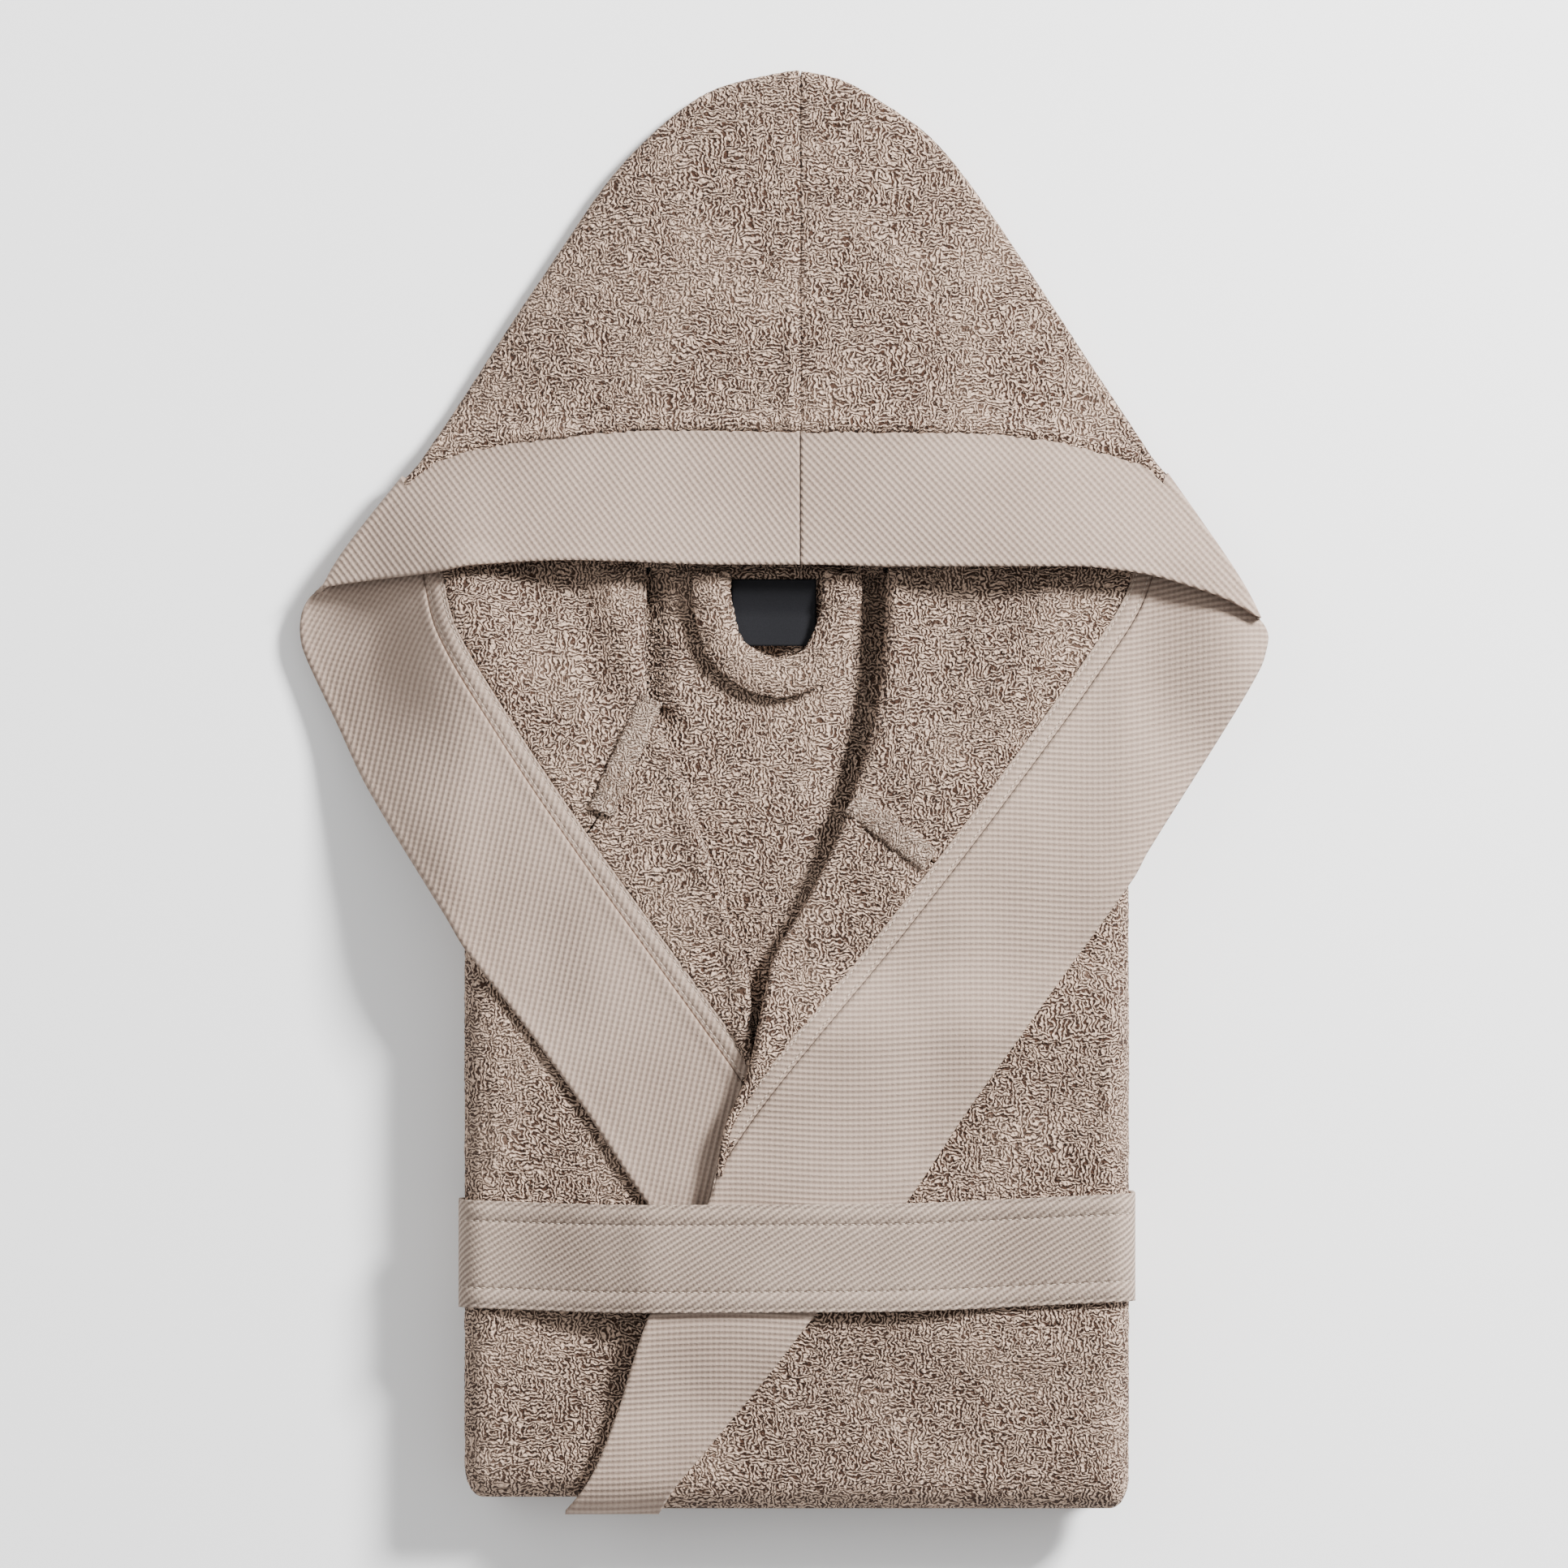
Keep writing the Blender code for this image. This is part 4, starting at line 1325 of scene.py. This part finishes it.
@dataclass
class Belt:
    """The twill belt, wound once round the bundle with its ends overlapping below."""

    layout: Layout
    bend: float = 13.0
    stitch_in: float = 10.0
    pitch: float = 3.1
    twill: float = 32.0
    upper_z: float = 30.0

    def quarter(self, x: float, z: float, out: Side, up: int) -> list[Point]:
        """Return a quarter of the belt's bend, at a lower or an upper corner.

        Args:
            x: the place where the belt starts to bend.
            z: the height of the level part.
            out: the side that it bends out to.
            up: 1 for a lower corner, -1 for an upper one.

        Returns:
            The x, z pairs, the level end first.
        """
        turns = [math.radians(turn) for turn in spread(0, 90, 8)]
        return [(x + out.value * self.bend * math.sin(turn),
                 z + up * self.bend * (1 - math.cos(turn))) for turn in turns]

    def route(self) -> list[Point]:
        """Return the belt's round as x, z pairs, in its sewn order."""
        lay, bend = self.layout, self.bend
        low = lay.belt / 2
        second = low + lay.belt + 0.5
        left = lay.left - lay.belt / 2 - 0.4
        right = lay.right + lay.belt / 2 + 0.4
        base = lay.top(lay.belt_top_y) + lay.gap + lay.terry + 0.5 + lay.belt / 2
        lift = lay.rise(lay.belt_top_y)
        clear = lay.step + 0.2
        route = [(40.0, second), (0.0, second), (-40.0, second), (-66.0, second),
                 (-88.0, low), (-110.0, low)]
        route += self.quarter(left + bend, low, Side.LEFT, 1)
        route += self.quarter(left + bend, base, Side.LEFT, -1)[::-1]
        route += [(-140, base + 0.4), (-125, base + 2.2), (-110, base + 5), (-95, base + 8.3),
                  (-82, base + 10.9)]
        route += [(x, base + lift + clear) for x in spread(-68, 62, 8)]
        route += [(84, base + lift + 2), (110, base + lift), (136, base + lift)]
        route += self.quarter(right - bend, base + lift, Side.RIGHT, -1)
        route += self.quarter(right - bend, low, Side.RIGHT, 1)[::-1]
        return route + [(100, low), (40, low), (-20, low), (-56, low)]

    def build(self, tailor: Tailor, finish: bpy.types.Material,
              thread: bpy.types.Material) -> None:
        """Make the belt's shell and the stitches along its upper face."""
        lay = self.layout
        path = Path(self.route())
        slope = Curve([(-158, -201.5), (-80, -203.5), (40, -203), (171, -198)])
        length = sum(path.lengths)
        places, maps = [], []
        cos, sin = math.cos(math.radians(self.twill)), math.sin(math.radians(self.twill))
        inward = (0.0, 0.8, 1.5, 2.2, 2.9, 4.5, 6.5, 8.4, 9.2, 10.0, 10.8, 11.6, 14.0, 17.0,
                  20.0, 23.0)
        parts = [step / lay.belt_width for step in inward] + [0.5]
        parts += [1 - step / lay.belt_width for step in reversed(inward)]
        for share in spread(0, 1, 460):
            x, z = path.at(share)
            upper = slope.at(x)
            row, own = [], []
            for part in parts:
                y = upper - lay.belt_width * part
                rim = min(part, 1 - part) * lay.belt_width
                puff = 0.85 * bell(rim - 5, 5) - 0.75 * bell(rim - self.stitch_in, 1.3)
                puff -= 0.3 * bell(rim - 2.2, 0.9)
                sag = 0.35 * math.sin(math.pi * part) * ripple(share * 9, part * 2, 8.8)
                row.append((x, y, z + (puff + sag) * (1 if z > self.upper_z else 0)))
                s = share * length
                own.append((-s * sin + y * cos, s * cos + y * sin))
            places.append(row)
            maps.append(own)
        rests = ["front_left_cloth", "front_right_cloth", "band_right_cloth", "floor"]
        tailor.cloth("belt_cloth", places, lay.belt, finish,
                     Cut(Weave.TWILL, rests, "belt"), maps)
        seats = []
        for down in (self.stitch_in, lay.belt_width - self.stitch_in):
            for share in spread(0.0, 0.995, int(length / self.pitch)):
                ends = [path.at(share), path.at(share + 0.003)]
                if ends[0][1] >= self.upper_z:
                    seats.append([Vector((x, slope.at(x) - down, z)) for x, z in ends])
        tailor.stitches("belt_stitches", seats, lay.belt / 2 - 0.5, thread)


@dataclass
class Studio:
    """The pale floor, the soft light and the camera straight above."""

    layout: Layout
    height: float = 6.0
    frame_width: float = 0.7728
    subject: float = 0.05
    sensor: float = 36.0
    floor_half: float = 3.0
    floor_tone: float = 0.94
    sky: float = 0.68
    middle_y: float = 3.6

    def floor(self) -> None:
        """Lay the pale floor under the robe."""
        bm = bmesh.new()
        bmesh.ops.create_grid(bm, x_segments=1, y_segments=1, size=self.floor_half)
        finish = bpy.data.materials.new("floor_paint")
        finish.use_nodes = True
        surface = finish.node_tree.nodes["Principled BSDF"]
        surface.inputs["Base Color"].default_value = (*(self.floor_tone,) * 3, 1.0)
        surface.inputs["Roughness"].default_value = 0.9
        link_object("floor", mesh_from("floor", bm, finish))

    def light(self, name: str, place: Spot, power: float, size: float) -> None:
        """Hang one soft area light that faces the robe.

        Args:
            name: the light's name.
            place: its place in metres.
            power: its power in watts.
            size: its side in metres.
        """
        data = bpy.data.lights.new(name, "AREA")
        data.energy = power
        data.size = size
        made = link_object(name, data)
        made.location = place
        made.rotation_euler = (-Vector(place)).to_track_quat("-Z", "Y").to_euler()

    def build(self) -> None:
        """Set the world, the floor, the lights and the camera."""
        world = bpy.data.worlds.new("studio")
        world.use_nodes = True
        sky = world.node_tree.nodes["Background"]
        sky.inputs[0].default_value = (1.0, 1.0, 1.0, 1.0)
        sky.inputs[1].default_value = self.sky
        bpy.context.scene.world = world
        self.floor()
        self.light("key", (2.1, 1.6, 1.95), 400.0, 0.7)
        self.light("fill", (-1.3, 0.5, 1.7), 10.0, 1.4)
        data = bpy.data.cameras.new("camera")
        data.sensor_width = self.sensor
        data.lens = self.sensor * (self.height - self.subject) / self.frame_width
        made = link_object("camera", data)
        shift = self.layout.shift
        made.location = (shift.x, shift.y + self.middle_y * MM, self.height)
        bpy.context.scene.camera = made


def frame_shift() -> Vector:
    """Return the move from the robe's own layout into the frame, read from two nodes."""
    label_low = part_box("label")[0]
    back_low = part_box("back")[0]
    return Vector((label_low[0] - Layout.label_left * MM,
                   back_low[1] - Layout.back_low * MM, 0.0))


def main() -> None:
    """Build the robe's pieces in order."""
    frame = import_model()
    layout = Layout(shift=frame_shift())
    tailor = Tailor(layout)
    wardrobe = Wardrobe()
    FoldedLayers(layout, frame["nodes"]["folded_layers"]).build(tailor, wardrobe.terry)
    Back(layout).build(tailor, wardrobe.terry)
    for side in Side:
        Front(layout, side, FRONT_CREASES[side]).build(tailor, wardrobe.terry)
    for side in Side:
        Hood(layout, side, HOOD_CREASES[side], CHEEK_CREASES[side]).build(tailor, wardrobe.terry)
    for side in Side:
        Band(layout, side).build(tailor, wardrobe.ribbed)
        SeamStrip(layout, side).build(tailor, wardrobe.ribbed, wardrobe.thread)
        NeckSeam(layout, side).build(tailor, wardrobe.pressed)
    HangingLoop(layout).build(tailor, wardrobe.terry)
    Label(layout).build(tailor, wardrobe.satin)
    Belt(layout).build(tailor, wardrobe.twill, wardrobe.thread)
    Studio(layout).build()


if __name__ == "__main__":
    logging.basicConfig(level=logging.INFO)
    main()
